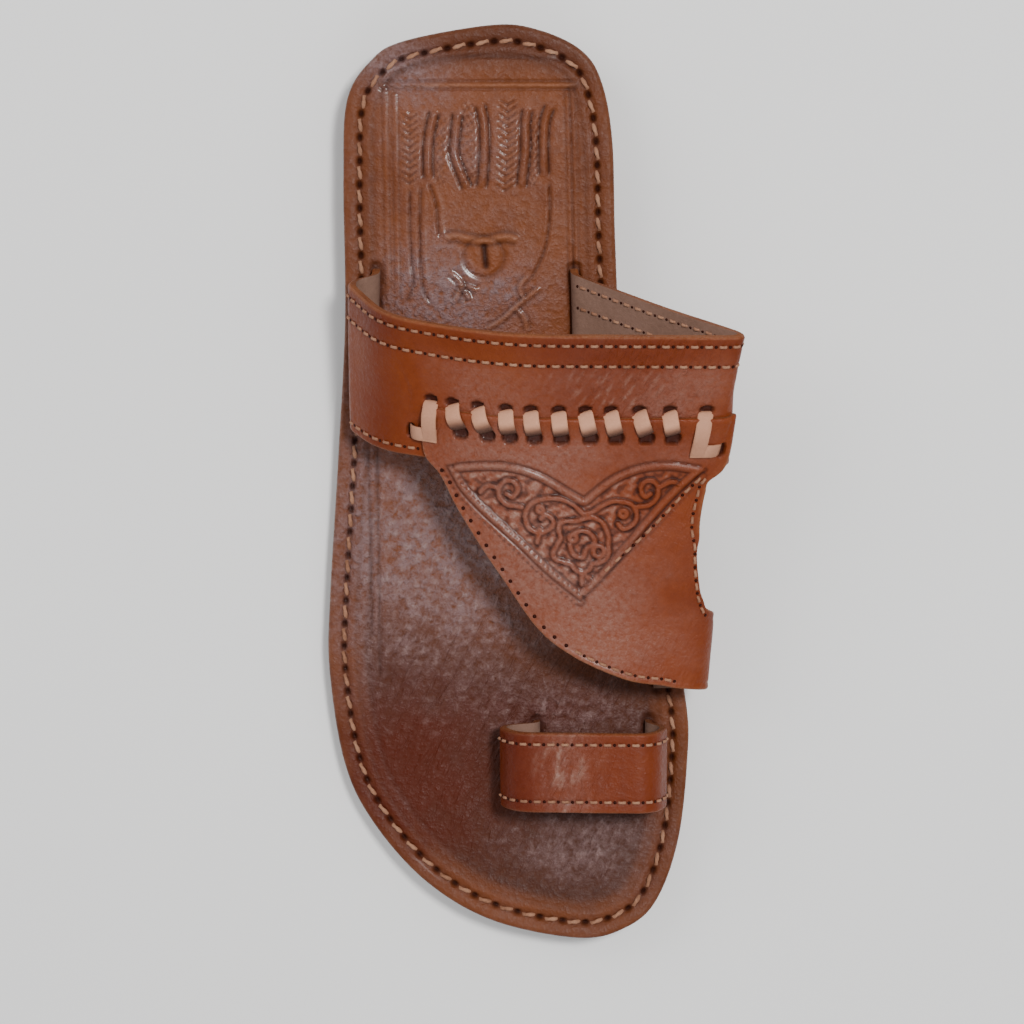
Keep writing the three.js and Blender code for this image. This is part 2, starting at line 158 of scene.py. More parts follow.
def pressLine(layers, marks, gap, ease=1.0):
    # what a tool leaves along its line, in relief and in painted shade and highlight: amount, distance from
    # the line, and width
    for key, strokes in marks.items():
        for amount, beside, width in strokes:
            layers[key] += amount * near(gap - beside, width) * ease


def smoothStep(low, high, value):
    t = np.clip((value - low) / (high - low), 0, 1)
    return t * t * (3 - 2 * t)


def softSpot(xy, centre, radii, turn=0.0):
    # an elliptical patch that fades from 1 at its centre
    c, s = math.cos(math.radians(turn)), math.sin(math.radians(turn))
    d = xy - np.array(centre)
    u, v = d[:, 0] * c + d[:, 1] * s, -d[:, 0] * s + d[:, 1] * c
    return np.exp(-((u / radii[0]) ** 2 + (v / radii[1]) ** 2))


def spotSum(xy, spots):
    # soft spots laid together: strength, centre, radii and turn
    return sum(strength * softSpot(xy, *spot) for strength, *spot in spots)


def waves(xy, size, seed, octaves=3):
    # soft unevenness of about -1 to 1 from sines in seeded directions
    local = np.random.default_rng(seed)
    total = np.zeros(len(xy))
    weight = 0
    for octave in range(octaves):
        for _ in range(4):
            angle, phase = local.uniform(0, np.pi), local.uniform(0, 2 * np.pi)
            k = 2 * np.pi * 2 ** octave / size * local.uniform(0.7, 1.3)
            total += np.sin(k * (xy[:, 0] * np.cos(angle) + xy[:, 1] * np.sin(angle)) + phase) / 2 ** octave
        weight += 2.2 / 2 ** octave
    return total / weight


def crinkle(flat, size, seed, stretch=1.0, lean=0.0):
    # uneven small ridges, long along the second direction where they are stretched
    bent = np.stack([flat[:, 0] + lean * flat[:, 1], flat[:, 1] / stretch], -1)
    return waves(bent, size, seed, 2)


def roundOff(distance, radius):
    # how far a surface drops at a distance from its cut edge
    d = np.clip(distance, 0, radius)
    return radius - np.sqrt(np.maximum(0, radius ** 2 - (radius - d) ** 2))


def insideLoop(xy, loop):
    inside = np.zeros(len(xy), bool)
    for (x0, y0), (x1, y1) in zip(loop[:-1], loop[1:]):
        crosses = (y0 > xy[:, 1]) != (y1 > xy[:, 1])
        inside ^= crosses & (xy[:, 0] < (x1 - x0) * (xy[:, 1] - y0) / (y1 - y0 + 1e-12) + x0)
    return inside


# the sole's form


def lengthwise(along):
    return np.asarray(along, float) * sandal["soleLength"] - sandal["heelCentre"]


def riseAt(y):
    along = (np.asarray(y, float) + sandal["heelCentre"]) / sandal["soleLength"]
    arch = np.clip((along - sandal["heelEnd"]) / (sandal["archEnd"] - sandal["heelEnd"]), 0, 1)
    spring = np.maximum(0, (along - sandal["springStart"]) / (1 - sandal["springStart"]))
    return sandal["heelLift"] * (0.5 + 0.5 * np.cos(np.pi * arch)) + sandal["toeSpring"] * spring ** 2


soleOutline = {
    "heelTip": (0, -0.04),
    "outer": [
        (0.017, 0.202), (0.038, 0.294), (0.081, 0.36), (0.166, 0.371), (0.315, 0.369), (0.472, 0.394),
        (0.6265, 0.4195), (0.7045, 0.4215), (0.8055, 0.382), (0.872, 0.303), (0.938, 0.153), (0.981, -0.037),
    ],
    "toeTip": (1, -0.28),
    "inner": [
        (0.989, -0.413), (0.9595, -0.5), (0.894, -0.562), (0.8055, -0.588), (0.7385, -0.583), (0.6, -0.513),
        (0.472, -0.44), (0.3515, -0.394), (0.2305, -0.377), (0.123, -0.368), (0.0595, -0.337),
        (0.0265, -0.2805), (0.0055, -0.167),
    ],
}
outlineSteps = 80
outlineCurve = curveThrough([
    (out * sandal["ballWidth"], float(lengthwise(along)))
    for along, out in [soleOutline["heelTip"], *soleOutline["outer"], soleOutline["toeTip"],
                       *soleOutline["inner"]]
], outlineSteps, closed=True)
toeIndex = (len(soleOutline["outer"]) + 1) * outlineSteps
outerSide = outlineCurve[:toeIndex + 1]
innerSide = np.vstack([outlineCurve[toeIndex:], outlineCurve[:1]])[::-1]


def insetOutline(inset):
    ways = np.roll(outlineCurve, -1, 0) - np.roll(outlineCurve, 1, 0)
    ways /= np.linalg.norm(ways, axis=1, keepdims=True)
    return outlineCurve + np.stack([-ways[:, 1], ways[:, 0]], -1) * inset


def soleRing(shares):
    # outline points and inward directions: outer side from heel to toe, then inner side back to the heel
    outer, outerWay, _ = alongCurve(outerSide, shares)
    inner, innerWay, _ = alongCurve(innerSide, shares)
    for end in (0, -1):
        tipWay = outerWay[end] - innerWay[end]
        outerWay[end] = tipWay / np.linalg.norm(tipWay)
    points = np.vstack([outer, inner[-2:0:-1]])
    ways = np.vstack([outerWay, -innerWay[-2:0:-1]])
    return points, np.stack([-ways[:, 1], ways[:, 0]], -1)


def edgeDistance(xy):
    line = outlineCurve[::2]
    result = np.empty(len(xy))
    for start in range(0, len(xy), 4000):
        part = xy[start:start + 4000]
        gaps = (part[:, None, 0] - line[None, :, 0]) ** 2 + (part[:, None, 1] - line[None, :, 1]) ** 2
        result[start:start + 4000] = np.sqrt(gaps.min(1))
    return result


# the straps' surfaces: sections across the foot, joined lengthwise

upperSections = [
    # along, lean, outerFoot, then out and up of side, shoulder, crown, fold and wall, innerFoot
    (0.2608, 0.42, 0.281, 0.357, 0.2, 0.25, 0.68, -0.056, 0.965, -0.73, 0.99, -0.5, 0.58, -0.264),
    (0.4187, 0.42, 0.292, 0.354, 0.2, 0.268, 0.5, -0.074, 0.75, -0.699, 0.716, -0.481, 0.375, -0.287),
    (0.5408, 0.2, 0.278, 0.333, 0.18, 0.241, 0.455, -0.139, 0.682, -0.674, 0.614, -0.528, 0.295, -0.389),
    (0.6372, 0, 0.222, 0.278, 0.18, 0.167, 0.41, -0.231, 0.614, -0.643, 0.5, -0.574, 0.18, -0.458),
    (0.7244, -0.1, 0.185, 0.241, 0.16, 0.111, 0.386, -0.315, 0.614, -0.622, 0.432, -0.583, 0.16, -0.486),
]
upperRounds = [6.5, 9, 21, 8, 13]
loopSections = [
    (0.7595, 0, -0.161, -0.052, 0.38, -0.1, 0.9, -0.482, 1, -0.521, 0.5, -0.478),
    (0.8458, 0, -0.165, -0.056, 0.38, -0.104, 0.9, -0.482, 1, -0.521, 0.5, -0.478),
]
loopRounds = [6, 6, 6, 6]
footRound, footStraight = 2.0, 1.6
sectionSteps = 720


def sectionPoints(row, rounds, height):
    along, lean, outerFoot, *corners, innerFoot = row
    width = sandal["ballWidth"]
    bottom = sandal["glueGap"] - sandal["footbed"]
    start = footRound + footStraight
    nodes = np.array([
        (outerFoot * width, bottom),
        (outerFoot * width, start),
        *((corners[k] * width, corners[k + 1] * height) for k in range(0, len(corners), 2)),
        (innerFoot * width, start),
        (innerFoot * width, bottom),
    ])
    line = [nodes[0]]
    for i, reach in enumerate([footRound, *rounds, footRound]):
        corner = nodes[i + 1]
        back, ahead = nodes[i] - corner, nodes[i + 2] - corner
        backLength, aheadLength = np.linalg.norm(back), np.linalg.norm(ahead)
        reach = min(reach, 0.48 * backLength, 0.48 * aheadLength)
        first, last = corner + back / backLength * reach, corner + ahead / aheadLength * reach
        for t in np.linspace(0, 1, 25):
            line.append((1 - t) ** 2 * first + 2 * t * (1 - t) * corner + t * t * last)
    line.append(nodes[-1])
    even, _, _ = alongCurve(np.array(line), np.linspace(0, 1, sectionSteps + 1))
    lengthPlace = float(lengthwise(along)) + lean * np.maximum(0, even[:, 1])
    return np.stack([even[:, 0], lengthPlace, even[:, 1]], -1)


upperTable = np.array([sectionPoints(row, upperRounds, sandal["instepHeight"]) for row in upperSections])
loopTable = np.array([sectionPoints(row, loopRounds, sandal["toeHeight"]) for row in loopSections])


def surfaceMiddle(table, across, row):
    last = len(table) - 1
    place = np.clip(across, 0, 1) * sectionSteps
    i = np.minimum(place.astype(int), sectionSteps - 1)
    w = (place - i)[..., None]
    k = np.clip(np.floor(row).astype(int), 0, last - 1)
    t = (row - k)[..., None]

    def on(index):
        index = np.clip(index, 0, last)
        return table[index, i] * (1 - w) + table[index, i + 1] * w

    p1, p2 = on(k), on(k + 1)
    p0 = np.where((k > 0)[..., None], on(k - 1), 2 * p1 - p2)
    p3 = np.where((k + 2 <= last)[..., None], on(k + 2), 2 * p2 - p1)
    return 0.5 * (2 * p1 + (p2 - p0) * t + (2 * p0 - 5 * p1 + 4 * p2 - p3) * t ** 2
                  + (3 * p1 - p0 - 3 * p2 + p3) * t ** 3)


def surfaceAt(table, across, row, n=0.0):
    # a point at an offset from a strap's middle surface, and the outward normal there
    across, row, n = np.broadcast_arrays(*(np.asarray(v, float) for v in (across, row, n)))
    step = 0.002
    alongWay = surfaceMiddle(table, across, row + step) - surfaceMiddle(table, across, row - step)
    acrossWay = (surfaceMiddle(table, np.minimum(1, across + step), row)
                 - surfaceMiddle(table, np.maximum(0, across - step), row))
    normal = np.cross(alongWay, acrossWay)
    normal /= np.linalg.norm(normal, axis=-1, keepdims=True)
    point = surfaceMiddle(table, across, row) + normal * n[..., None]
    point[..., 2] += footbedTop + riseAt(point[..., 1])
    return point, normal


bandLow, bandHigh = -sandal["band"] / 2, sandal["band"] / 2
panelLow = bandHigh - sandal["panelSeat"]
panelHigh = panelLow + sandal["panel"]
loopLow, loopHigh = -sandal["loop"] / 2, sandal["loop"] / 2
acrossLength = walkLength(surfaceAt(upperTable, np.linspace(0, 1, 400), 0.645)[0])
rowLength = walkLength(surfaceAt(upperTable, 0.45, np.linspace(0, 1, 30))[0])

# the panel's side edges on the upper's surface: outerAcross, outerRow, innerAcross, innerRow
panelEdges = [
    (0.237, 0.585, 0.697, 0.585), (0.236, 0.94, 0.695, 0.98), (0.262, 1.13, 0.68, 1.13),
    (0.287, 1.414, 0.681, 1.24), (0.331, 1.865, 0.683, 1.35), (0.371, 2.295, 0.686, 1.46),
    (0.433, 3.03, 0.69, 1.58), (0.509, 3.463, 0.694, 1.67), (0.617, 3.786, 0.698, 1.75),
    (0.7, 3.87, 0.704, 1.88), (0.724, 3.9, 0.724, 2.33), (0.74, 3.91, 0.738, 2.58),
    (0.758, 3.92, 0.758, 2.79), (0.8, 3.95, 0.8, 2.93), (0.86, 3.97, 0.86, 2.97), (1, 4, 1, 3),
]
panelGuide = curveThrough(panelEdges, 24)


def panelPlace(down, over):
    # a place on the panel, down from its top edge to its foot and over from its outer to its inner edge
    at = np.asarray(down, float) * (len(panelGuide) - 1)
    i = np.minimum(at.astype(int), len(panelGuide) - 2)
    w = (at - i)[..., None]
    edge = panelGuide[i] * (1 - w) + panelGuide[i + 1] * w
    over = np.asarray(over, float)[..., None]
    place = edge[..., :2] * (1 - over) + edge[..., 2:] * over
    return place[..., 0], place[..., 1]


# mesh makers


def enclosedVolume(points, faces):
    total = 0.0
    for f in faces:
        first = points[f[:, 0]]
        for k in range(1, f.shape[1] - 1):
            total += np.einsum("ij,ij->", first, np.cross(points[f[:, k]], points[f[:, k + 1]]))
    return total / 6


def makeMesh(name, points, faces, materials, faceMaterial=None, masks=None, sharp=50):
    mesh = bpy.data.meshes.new(name)
    points = np.asarray(points, float).reshape(-1, 3) * mm
    faces = [np.asarray(f, int) for f in faces]
    if enclosedVolume(points, faces) < 0:
        faces = [f[:, ::-1] for f in faces]
    corners = np.concatenate([f.ravel() for f in faces])
    sizes = np.concatenate([np.full(len(f), f.shape[1]) for f in faces])
    mesh.vertices.add(len(points))
    mesh.vertices.foreach_set("co", points.astype(np.float32).ravel())
    mesh.loops.add(len(corners))
    mesh.loops.foreach_set("vertex_index", corners.astype(np.int32))
    mesh.polygons.add(len(sizes))
    starts = np.concatenate([[0], np.cumsum(sizes)[:-1]])
    mesh.polygons.foreach_set("loop_start", starts.astype(np.int32))
    for material in materials:
        mesh.materials.append(material)
    if faceMaterial is not None:
        mesh.polygons.foreach_set("material_index", np.asarray(faceMaterial, np.int32))
    mesh.update(calc_edges=True)
    mesh.shade_smooth()
    if sharp:
        mesh.set_sharp_from_angle(angle=math.radians(sharp))
    for key, values in (masks or {}).items():
        layer = mesh.attributes.new(key, "FLOAT", "POINT")
        layer.data.foreach_set("value", np.asarray(values, np.float32))
    obj = bpy.data.objects.new(name, mesh)
    bpy.context.scene.collection.objects.link(obj)
    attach(obj, "root")
    return obj


def gridFaces(rows, columns, offset=0, flip=False, wrap=False):
    i, j = np.meshgrid(np.arange(rows - 1), np.arange(columns if wrap else columns - 1), indexing="ij")
    ahead = (j + 1) % columns
    a, b = i * columns + j, (i + 1) * columns + j
    d, e = (i + 1) * columns + ahead, i * columns + ahead
    return np.stack([a, e, d, b] if flip else [a, b, d, e], -1).reshape(-1, 4) + offset


def slabMesh(name, place, aShares, bShares, outerOffset, innerOffset, masks, skip=2):
    # a wall of leather: outer skin (material 0), coarser lining (1) and cut edges (2)
    a, b = np.meshgrid(aShares, bShares, indexing="ij")
    outer = place(a, b, outerOffset)
    inner = place(a[::skip, ::skip], b[::skip, ::skip], innerOffset)
    nA, nB = a.shape
    mA, mB = inner.shape[:2]
    size = nA * nB
    faces = [gridFaces(nA, nB), gridFaces(mA, mB, size, flip=True)]
    kinds = [np.zeros(len(faces[0])), np.ones(len(faces[1]))]
    outerIds = np.arange(size).reshape(nA, nB)
    innerIds = np.arange(mA * mB).reshape(mA, mB) + size
    borders = [
        (outerIds[0], innerIds[0], False), (outerIds[-1], innerIds[-1], True),
        (outerIds[:, 0], innerIds[:, 0], True), (outerIds[:, -1], innerIds[:, -1], False),
    ]
    for fine, coarse, turned in borders:
        cells = len(coarse) - 1
        run = [fine[k:k + cells * skip:skip] for k in range(skip)] + [fine[skip::skip]]
        strip = np.stack([*run, coarse[1:], coarse[:-1]], -1)
        faces.append(strip[:, ::-1] if turned else strip)
        kinds.append(np.full(len(strip), 2))
    layers = {key: np.concatenate([np.asarray(value, float).ravel(), np.zeros(mA * mB)])
              for key, value in masks.items()}
    points = np.concatenate([outer.reshape(-1, 3), inner.reshape(-1, 3)])
    materials = [strapLeather, liningLeather, cutEdge]
    return makeMesh(name, points, faces, materials, np.concatenate(kinds), layers)


def refined(count, edge, length):
    # even shares with extra ones near both ends, where the edge is rounded
    ends = np.array([0, 0.12, 0.3, 0.55, 0.8, 1.1]) * edge / length
    middle = np.linspace(1.6 * edge / length, 1 - 1.6 * edge / length, count - 12)
    return np.concatenate([ends, middle, 1 - ends[::-1]])


def stitchMesh(name, starts, ends, normals, look, material):
    # stitches in one mesh: each rises out of its first hole and dips into its second
    sides, rings = look["sides"], look["rings"]
    way = ends - starts
    direction = way / np.linalg.norm(way, axis=1, keepdims=True)
    side = np.cross(direction, normals)
    side /= np.linalg.norm(side, axis=1, keepdims=True)
    up = np.cross(side, direction)
    t = np.linspace(0, 1, rings)
    arch = np.sin(np.pi * t) ** 0.5
    phi = np.linspace(0, 2 * np.pi, sides, endpoint=False)
    height = -look["sink"] + (look["lift"] + look["sink"]) * arch
    centre = starts[:, None] + way[:, None] * t[None, :, None] + up[:, None] * height[None, :, None]
    ply = 1 + look["ply"] * np.cos(2 * phi[None, :] - look["twist"] * t[:, None] * 2 * np.pi)
    radius = look["radius"] * ply * (0.7 + 0.3 * arch[:, None])
    offset = (side[:, None, None] * (np.cos(phi)[None, :] * radius)[None, :, :, None]
              + up[:, None, None] * (np.sin(phi)[None, :] * radius * 0.85)[None, :, :, None])
    points = centre[:, :, None] + offset
    per = rings * sides
    tubes = np.concatenate([gridFaces(rings, sides, k * per, wrap=True) for k in range(len(starts))])
    caps = np.concatenate([
        np.stack([np.arange(sides), np.arange(per - 1, per - 1 - sides, -1)]) + k * per
        for k in range(len(starts))
    ])
    return makeMesh(name, points, [tubes, caps], [material], sharp=0)


# shader helpers


def setInputs(tree, node, inputs):
    for key, value in inputs.items():
        if isinstance(value, bpy.types.NodeSocket):
            tree.links.new(value, node.inputs[key])
        else:
            node.inputs[key].default_value = value
    return node


def addNode(tree, kind, inputs=None, **settings):
    node = tree.nodes.new(kind)
    for key, value in settings.items():
        setattr(node, key, value)
    return setInputs(tree, node, inputs or {})


def newGroup(name, inputs, outputs):
    # each socket is given by its usual value, or by its kind
    tree = bpy.data.node_groups.new(name, "ShaderNodeTree")
    for direction, sockets in (("INPUT", inputs), ("OUTPUT", outputs)):
        for label, value in sockets.items():
            kind = value if isinstance(value, str) else "Float" if isinstance(value, float) else "Color"
            socket = tree.interface.new_socket(label, in_out=direction, socket_type=f"NodeSocket{kind}")
            if kind is not value:
                socket.default_value = value
    return tree, tree.nodes.new("NodeGroupInput").outputs, tree.nodes.new("NodeGroupOutput").inputs


def useGroup(tree, group, inputs):
    return addNode(tree, "ShaderNodeGroup", inputs, node_tree=group).outputs


def calc(tree, operation, a, b=0.0, clamp=False):
    return addNode(tree, "ShaderNodeMath", {0: a, 1: b}, operation=operation, use_clamp=clamp).outputs[0]


def times(tree, a, b, clamp=False):
    return calc(tree, "MULTIPLY", a, b, clamp)


def plus(tree, a, b, clamp=False):
    return calc(tree, "ADD", a, b, clamp)


def vectorCalc(tree, operation, inputs):
    return addNode(tree, "ShaderNodeVectorMath", inputs, operation=operation).outputs[0]


def maskFrom(tree, attribute):
    return addNode(tree, "ShaderNodeAttribute", attribute_name=attribute).outputs["Fac"]


def mixColor(tree, factor, a, b):
    return addNode(tree, "ShaderNodeMix", {0: factor, 6: a, 7: b}, data_type="RGBA").outputs[2]


def mapRange(tree, value, fromLow, fromHigh, toLow=0.0, toHigh=1.0):
    return addNode(tree, "ShaderNodeMapRange", {
        "Value": value, "From Min": fromLow, "From Max": fromHigh, "To Min": toLow, "To Max": toHigh,
    }).outputs["Result"]


def noiseAt(tree, vector, scale, detail, distortion=0.0):
    return addNode(tree, "ShaderNodeTexNoise", {
        "Vector": vector, "Scale": scale, "Detail": detail, "Distortion": distortion,
    }).outputs


def rgb(text):
    # a screen colour such as 7d4023 as a scene colour
    parts = [int(text[k:k + 2], 16) / 255 for k in (0, 2, 4)]
    return (*(p / 12.92 if p <= 0.04045 else ((p + 0.055) / 1.055) ** 2.4 for p in parts), 1.0)


def makeGrainGroup():
    # soft uneven leather grain, mostly broad bumps, with faint creases between small pebbles
    tree, start, end = newGroup("leatherGrain", {
        "Vector": "Vector",
        "Scale": 1300.0,
        "Stretch": 1.6,
    }, {"Height": "Float", "Creases": "Float"})
    warp = noiseAt(tree, start["Vector"], times(tree, start["Scale"], 0.5), 2.0)
    shift = vectorCalc(tree, "SUBTRACT", {0: warp["Color"], 1: (0.5, 0.5, 0.5)})
    amount = calc(tree, "DIVIDE", start["Stretch"], start["Scale"])
    shift = vectorCalc(tree, "SCALE", {0: shift, "Scale": amount})
    moved = vectorCalc(tree, "ADD", {0: start["Vector"], 1: shift})
    cells = addNode(tree, "ShaderNodeTexVoronoi", {"Vector": moved, "Scale": start["Scale"]}, feature="F1")
    pebbles = mapRange(tree, cells.outputs["Distance"], 0.65, 0.1)
    fine = noiseAt(tree, start["Vector"], times(tree, start["Scale"], 1.1), 4.0, 0.4)
    broad = noiseAt(tree, start["Vector"], times(tree, start["Scale"], 0.48), 3.0, 0.15)
    height = plus(tree, times(tree, pebbles, 0.15), times(tree, fine["Fac"], 0.4))
    height = plus(tree, height, times(tree, broad["Fac"], 1.3))
    tree.links.new(height, end["Height"])
    tree.links.new(calc(tree, "SUBTRACT", 1.0, pebbles), end["Creases"])
    return tree


def makeToneGroup():
    # dye that took unevenly: broad drift and small flecks between three colours
    tree, start, end = newGroup("dyeTone", {
        "Vector": "Vector",
        "Color": rgb("7d4023"),
        "Light": rgb("9a5a35"),
        "Dark": rgb("5a2a15"),
        "Scale": 30.0,
        "Amount": 0.5,
    }, {"Color": "Color"})
    broad = noiseAt(tree, start["Vector"], start["Scale"], 4.0)
    fine = noiseAt(tree, start["Vector"], times(tree, start["Scale"], 14.0), 3.0)
    value = plus(tree, times(tree, broad["Fac"], 0.7), times(tree, fine["Fac"], 0.3))
    lighter = times(tree, mapRange(tree, value, 0.5, 0.72), start["Amount"])
    darker = times(tree, mapRange(tree, value, 0.5, 0.3), start["Amount"])
    color = mixColor(tree, lighter, start["Color"], start["Light"])
    tree.links.new(mixColor(tree, darker, color, start["Dark"]), end["Color"])
    return tree


def makeLayerGroup(name, layerName):
    # a second colour laid over the first where a mask is high, broken up by the grain
    tree, start, end = newGroup(name, {
        "Color": rgb("7d4023"),
        layerName: rgb("8a6a6a"),
        "Mask": 0.0,
        "Grain": 0.9,
        "Breakup": 0.5,
        "Amount": 1.0,
    }, {"Color": "Color", "Mask": "Float"})
    grain = times(tree, calc(tree, "SUBTRACT", start["Grain"], 0.92), start["Breakup"])
    mask = plus(tree, start["Mask"], times(tree, grain, start["Mask"]))
    mask = times(tree, mask, start["Amount"], clamp=True)
    tree.links.new(mixColor(tree, mask, start["Color"], start[layerName]), end["Color"])
    tree.links.new(mask, end["Mask"])
    return tree


def makeWrinkleGroup():
    # fine slanting wrinkles, as thin leather has where it bends
    tree, start, end = newGroup("fineWrinkles", {
        "Vector": "Vector",
        "Scale": 300.0,
        "Squeeze": 0.2,
    }, {"Height": "Float"})
    turned = addNode(tree, "ShaderNodeMapping", {"Vector": start["Vector"], "Rotation": (0.0, 0.0, 0.45)})
    squeeze = addNode(tree, "ShaderNodeCombineXYZ", {"X": 1.0, "Y": start["Squeeze"], "Z": 0.6})
    flat = vectorCalc(tree, "MULTIPLY", {0: turned.outputs[0], 1: squeeze.outputs[0]})
    noise = noiseAt(tree, flat, start["Scale"], 3.0, 0.6)
    ridge = calc(tree, "ABSOLUTE", calc(tree, "SUBTRACT", noise["Fac"], 0.5))
    tree.links.new(mapRange(tree, ridge, 0.0, 0.2), end["Height"])
    return tree


grainGroup = makeGrainGroup()
toneGroup = makeToneGroup()
# painted sheen: a grey-purple reflection laid into the colour where its mask is high
paintedSheenGroup = makeLayerGroup("greyPaintedSheen", "PaintedSheen")
# a darker colour laid over the first: painted shade in most uses, and a deeper tone of the leather
toneAndShadeGroup = makeLayerGroup("darkToneAndShade", "ToneAndShade")
# edge wear, which on the bed also carries the tooling's painted highlights
wearAndHighlightGroup = makeLayerGroup("edgeWearAndHighlight", "WearAndHighlight")
wrinkleGroup = makeWrinkleGroup()


def leatherMaterial(name, look, layers=(), wrinkles=0.0, sheenMask=None):
    # dyed leather; a layer is group, colour socket, colour, mask attribute, amount, breakup, roughness shift
    material = bpy.data.materials.new(name)
    material.use_nodes = True
    tree = material.node_tree
    shader = tree.nodes["Principled BSDF"]
    place = addNode(tree, "ShaderNodeTexCoord").outputs["Object"]
    grain = useGroup(tree, grainGroup, {"Vector": place, "Scale": look["grainScale"]})
    tone = useGroup(tree, toneGroup, {
        "Vector": place, "Color": rgb(look["color"]), "Light": rgb(look["light"]), "Dark": rgb(look["dark"]),
        "Scale": look["toneScale"], "Amount": look["toneAmount"],
    })
    color = mixColor(tree, times(tree, grain["Creases"], look["creaseDark"]),
                     tone["Color"], rgb(look["dark"]))
    roughness = mapRange(tree, grain["Height"], 0.6, 1.3, look["roughHigh"], look["roughLow"])
    for group, socket, layerColor, attribute, amount, breakup, roughShift in layers:
        layer = useGroup(tree, group, {
            "Color": color, socket: rgb(layerColor), "Mask": maskFrom(tree, attribute),
            "Grain": grain["Height"], "Amount": amount, "Breakup": breakup,
        })
        color = layer["Color"]
        roughness = plus(tree, roughness, times(tree, layer["Mask"], roughShift), clamp=True)
    height, coat = grain["Height"], look["coat"]
    if sheenMask:
        # where the sheen is painted, the grain keeps its full bump and the coat adds gloss
        sheen = maskFrom(tree, sheenMask)
        height = times(tree, height, mapRange(tree, sheen, 0.0, 0.8, look["calm"], 1.0))
        coat = times(tree, sheen, coat)
    if wrinkles:
        fold = useGroup(tree, wrinkleGroup, {"Vector": place, "Scale": look["wrinkleScale"]})
        lines = times(tree, times(tree, fold["Height"], maskFrom(tree, "wrinkle")), wrinkles)
        height = plus(tree, height, lines)
    bump = addNode(tree, "ShaderNodeBump", {
        "Height": height, "Strength": look["bump"], "Distance": look["bumpDepth"] * mm,
    })
    setInputs(tree, shader, {
        "Base Color": color, "Roughness": roughness, "Normal": bump.outputs["Normal"],
        "Specular IOR Level": look["specular"], "Coat Roughness": look["coatRough"], "Coat Weight": coat,
    })
    return material


print("tools and shader groups ready")

# leather finishes: screen colours, grain cells per metre, roughness in creases and on ridges, bump in mm

strapLook = {
    "color": "733110", "light": "86441d", "dark": "521c07", "toneScale": 26.0, "toneAmount": 0.5,
    "grainScale": 1400.0, "creaseDark": 0.12, "roughHigh": 0.56, "roughLow": 0.36,
    "bump": 0.8, "bumpDepth": 0.4, "specular": 0.2, "coat": 0.3, "coatRough": 0.26,
    "wrinkleScale": 520.0, "calm": 0.5,
}
bedLook = {
    "color": "6f3a1a", "light": "83492c", "dark": "4a1e0c", "toneScale": 22.0, "toneAmount": 0.5,
    "grainScale": 1150.0, "creaseDark": 0.14, "roughHigh": 0.6, "roughLow": 0.36,
    "bump": 1.0, "bumpDepth": 0.95, "specular": 0.2, "coat": 0.6, "coatRough": 0.2,
    "wrinkleScale": 360.0, "calm": 0.3,
}
liningLook = {
    "color": "7e6052", "light": "8e7064", "dark": "5c4236", "toneScale": 40.0, "toneAmount": 0.5,
    "grainScale": 2000.0, "creaseDark": 0.15, "roughHigh": 0.9, "roughLow": 0.8,
    "bump": 0.5, "bumpDepth": 0.25, "specular": 0.25, "coat": 0.0, "coatRough": 0.5,
}
edgeLook = {
    "color": "7a4526", "light": "8e5a38", "dark": "50250f", "toneScale": 120.0, "toneAmount": 0.7,
    "grainScale": 2600.0, "creaseDark": 0.3, "roughHigh": 0.85, "roughLow": 0.7,
    "bump": 0.7, "bumpDepth": 0.25, "specular": 0.25, "coat": 0.0, "coatRough": 0.5,
}
soleLook = {
    "color": "56301c", "light": "6c4028", "dark": "38190c", "toneScale": 60.0, "toneAmount": 0.7,
    "grainScale": 1800.0, "creaseDark": 0.3, "roughHigh": 0.7, "roughLow": 0.5,
    "bump": 0.6, "bumpDepth": 0.25, "specular": 0.3, "coat": 0.1, "coatRough": 0.4,
}
# the needle holes' dark is painted shade
holeShadeLook = dict(soleLook, color="34120a", light="40190d", dark="260a05", coat=0.0, specular=0.1)
thongLook = {
    "color": "c48e71", "light": "d09c80", "dark": "9c6c54", "toneScale": 90.0, "toneAmount": 0.5,
    "grainScale": 2000.0, "creaseDark": 0.12, "roughHigh": 0.8, "roughLow": 0.62,
    "bump": 0.4, "bumpDepth": 0.2, "specular": 0.3, "coat": 0.0, "coatRough": 0.5,
}
threadLook = {
    "color": "9c7058", "light": "ae866c", "dark": "6e4630", "toneScale": 70.0, "toneAmount": 0.9,
    "grainScale": 3600.0, "creaseDark": 0.3, "roughHigh": 0.85, "roughLow": 0.65,
    "bump": 0.5, "bumpDepth": 0.12, "specular": 0.3, "coat": 0.0, "coatRough": 0.5,
}

# colour layers: painted sheen, a darker tone that is partly painted shade, edge wear, painted glints, and
# painted shade in hollows
strapLeather = leatherMaterial("strapLeather", strapLook, [
    (paintedSheenGroup, "PaintedSheen", "7f5244", "paintedSheen", 0.75, 2.0, 0.0),
    (toneAndShadeGroup, "ToneAndShade", "501503", "deepToneAndShade", 0.85, 0.3, 0.0),
    (wearAndHighlightGroup, "WearAndHighlight", "a5764e", "wearAndHighlight", 0.5, 1.5, 0.1),
    (paintedSheenGroup, "PaintedSheen", "a08274", "glint", 0.9, 2.5, -0.12),
    (toneAndShadeGroup, "ToneAndShade", "2c0b04", "cavityShade", 0.9, 0.2, 0.15),
], wrinkles=0.7, sheenMask="paintedSheen")
liningLeather = leatherMaterial("liningLeather", liningLook)
cutEdge = leatherMaterial("cutEdge", edgeLook)
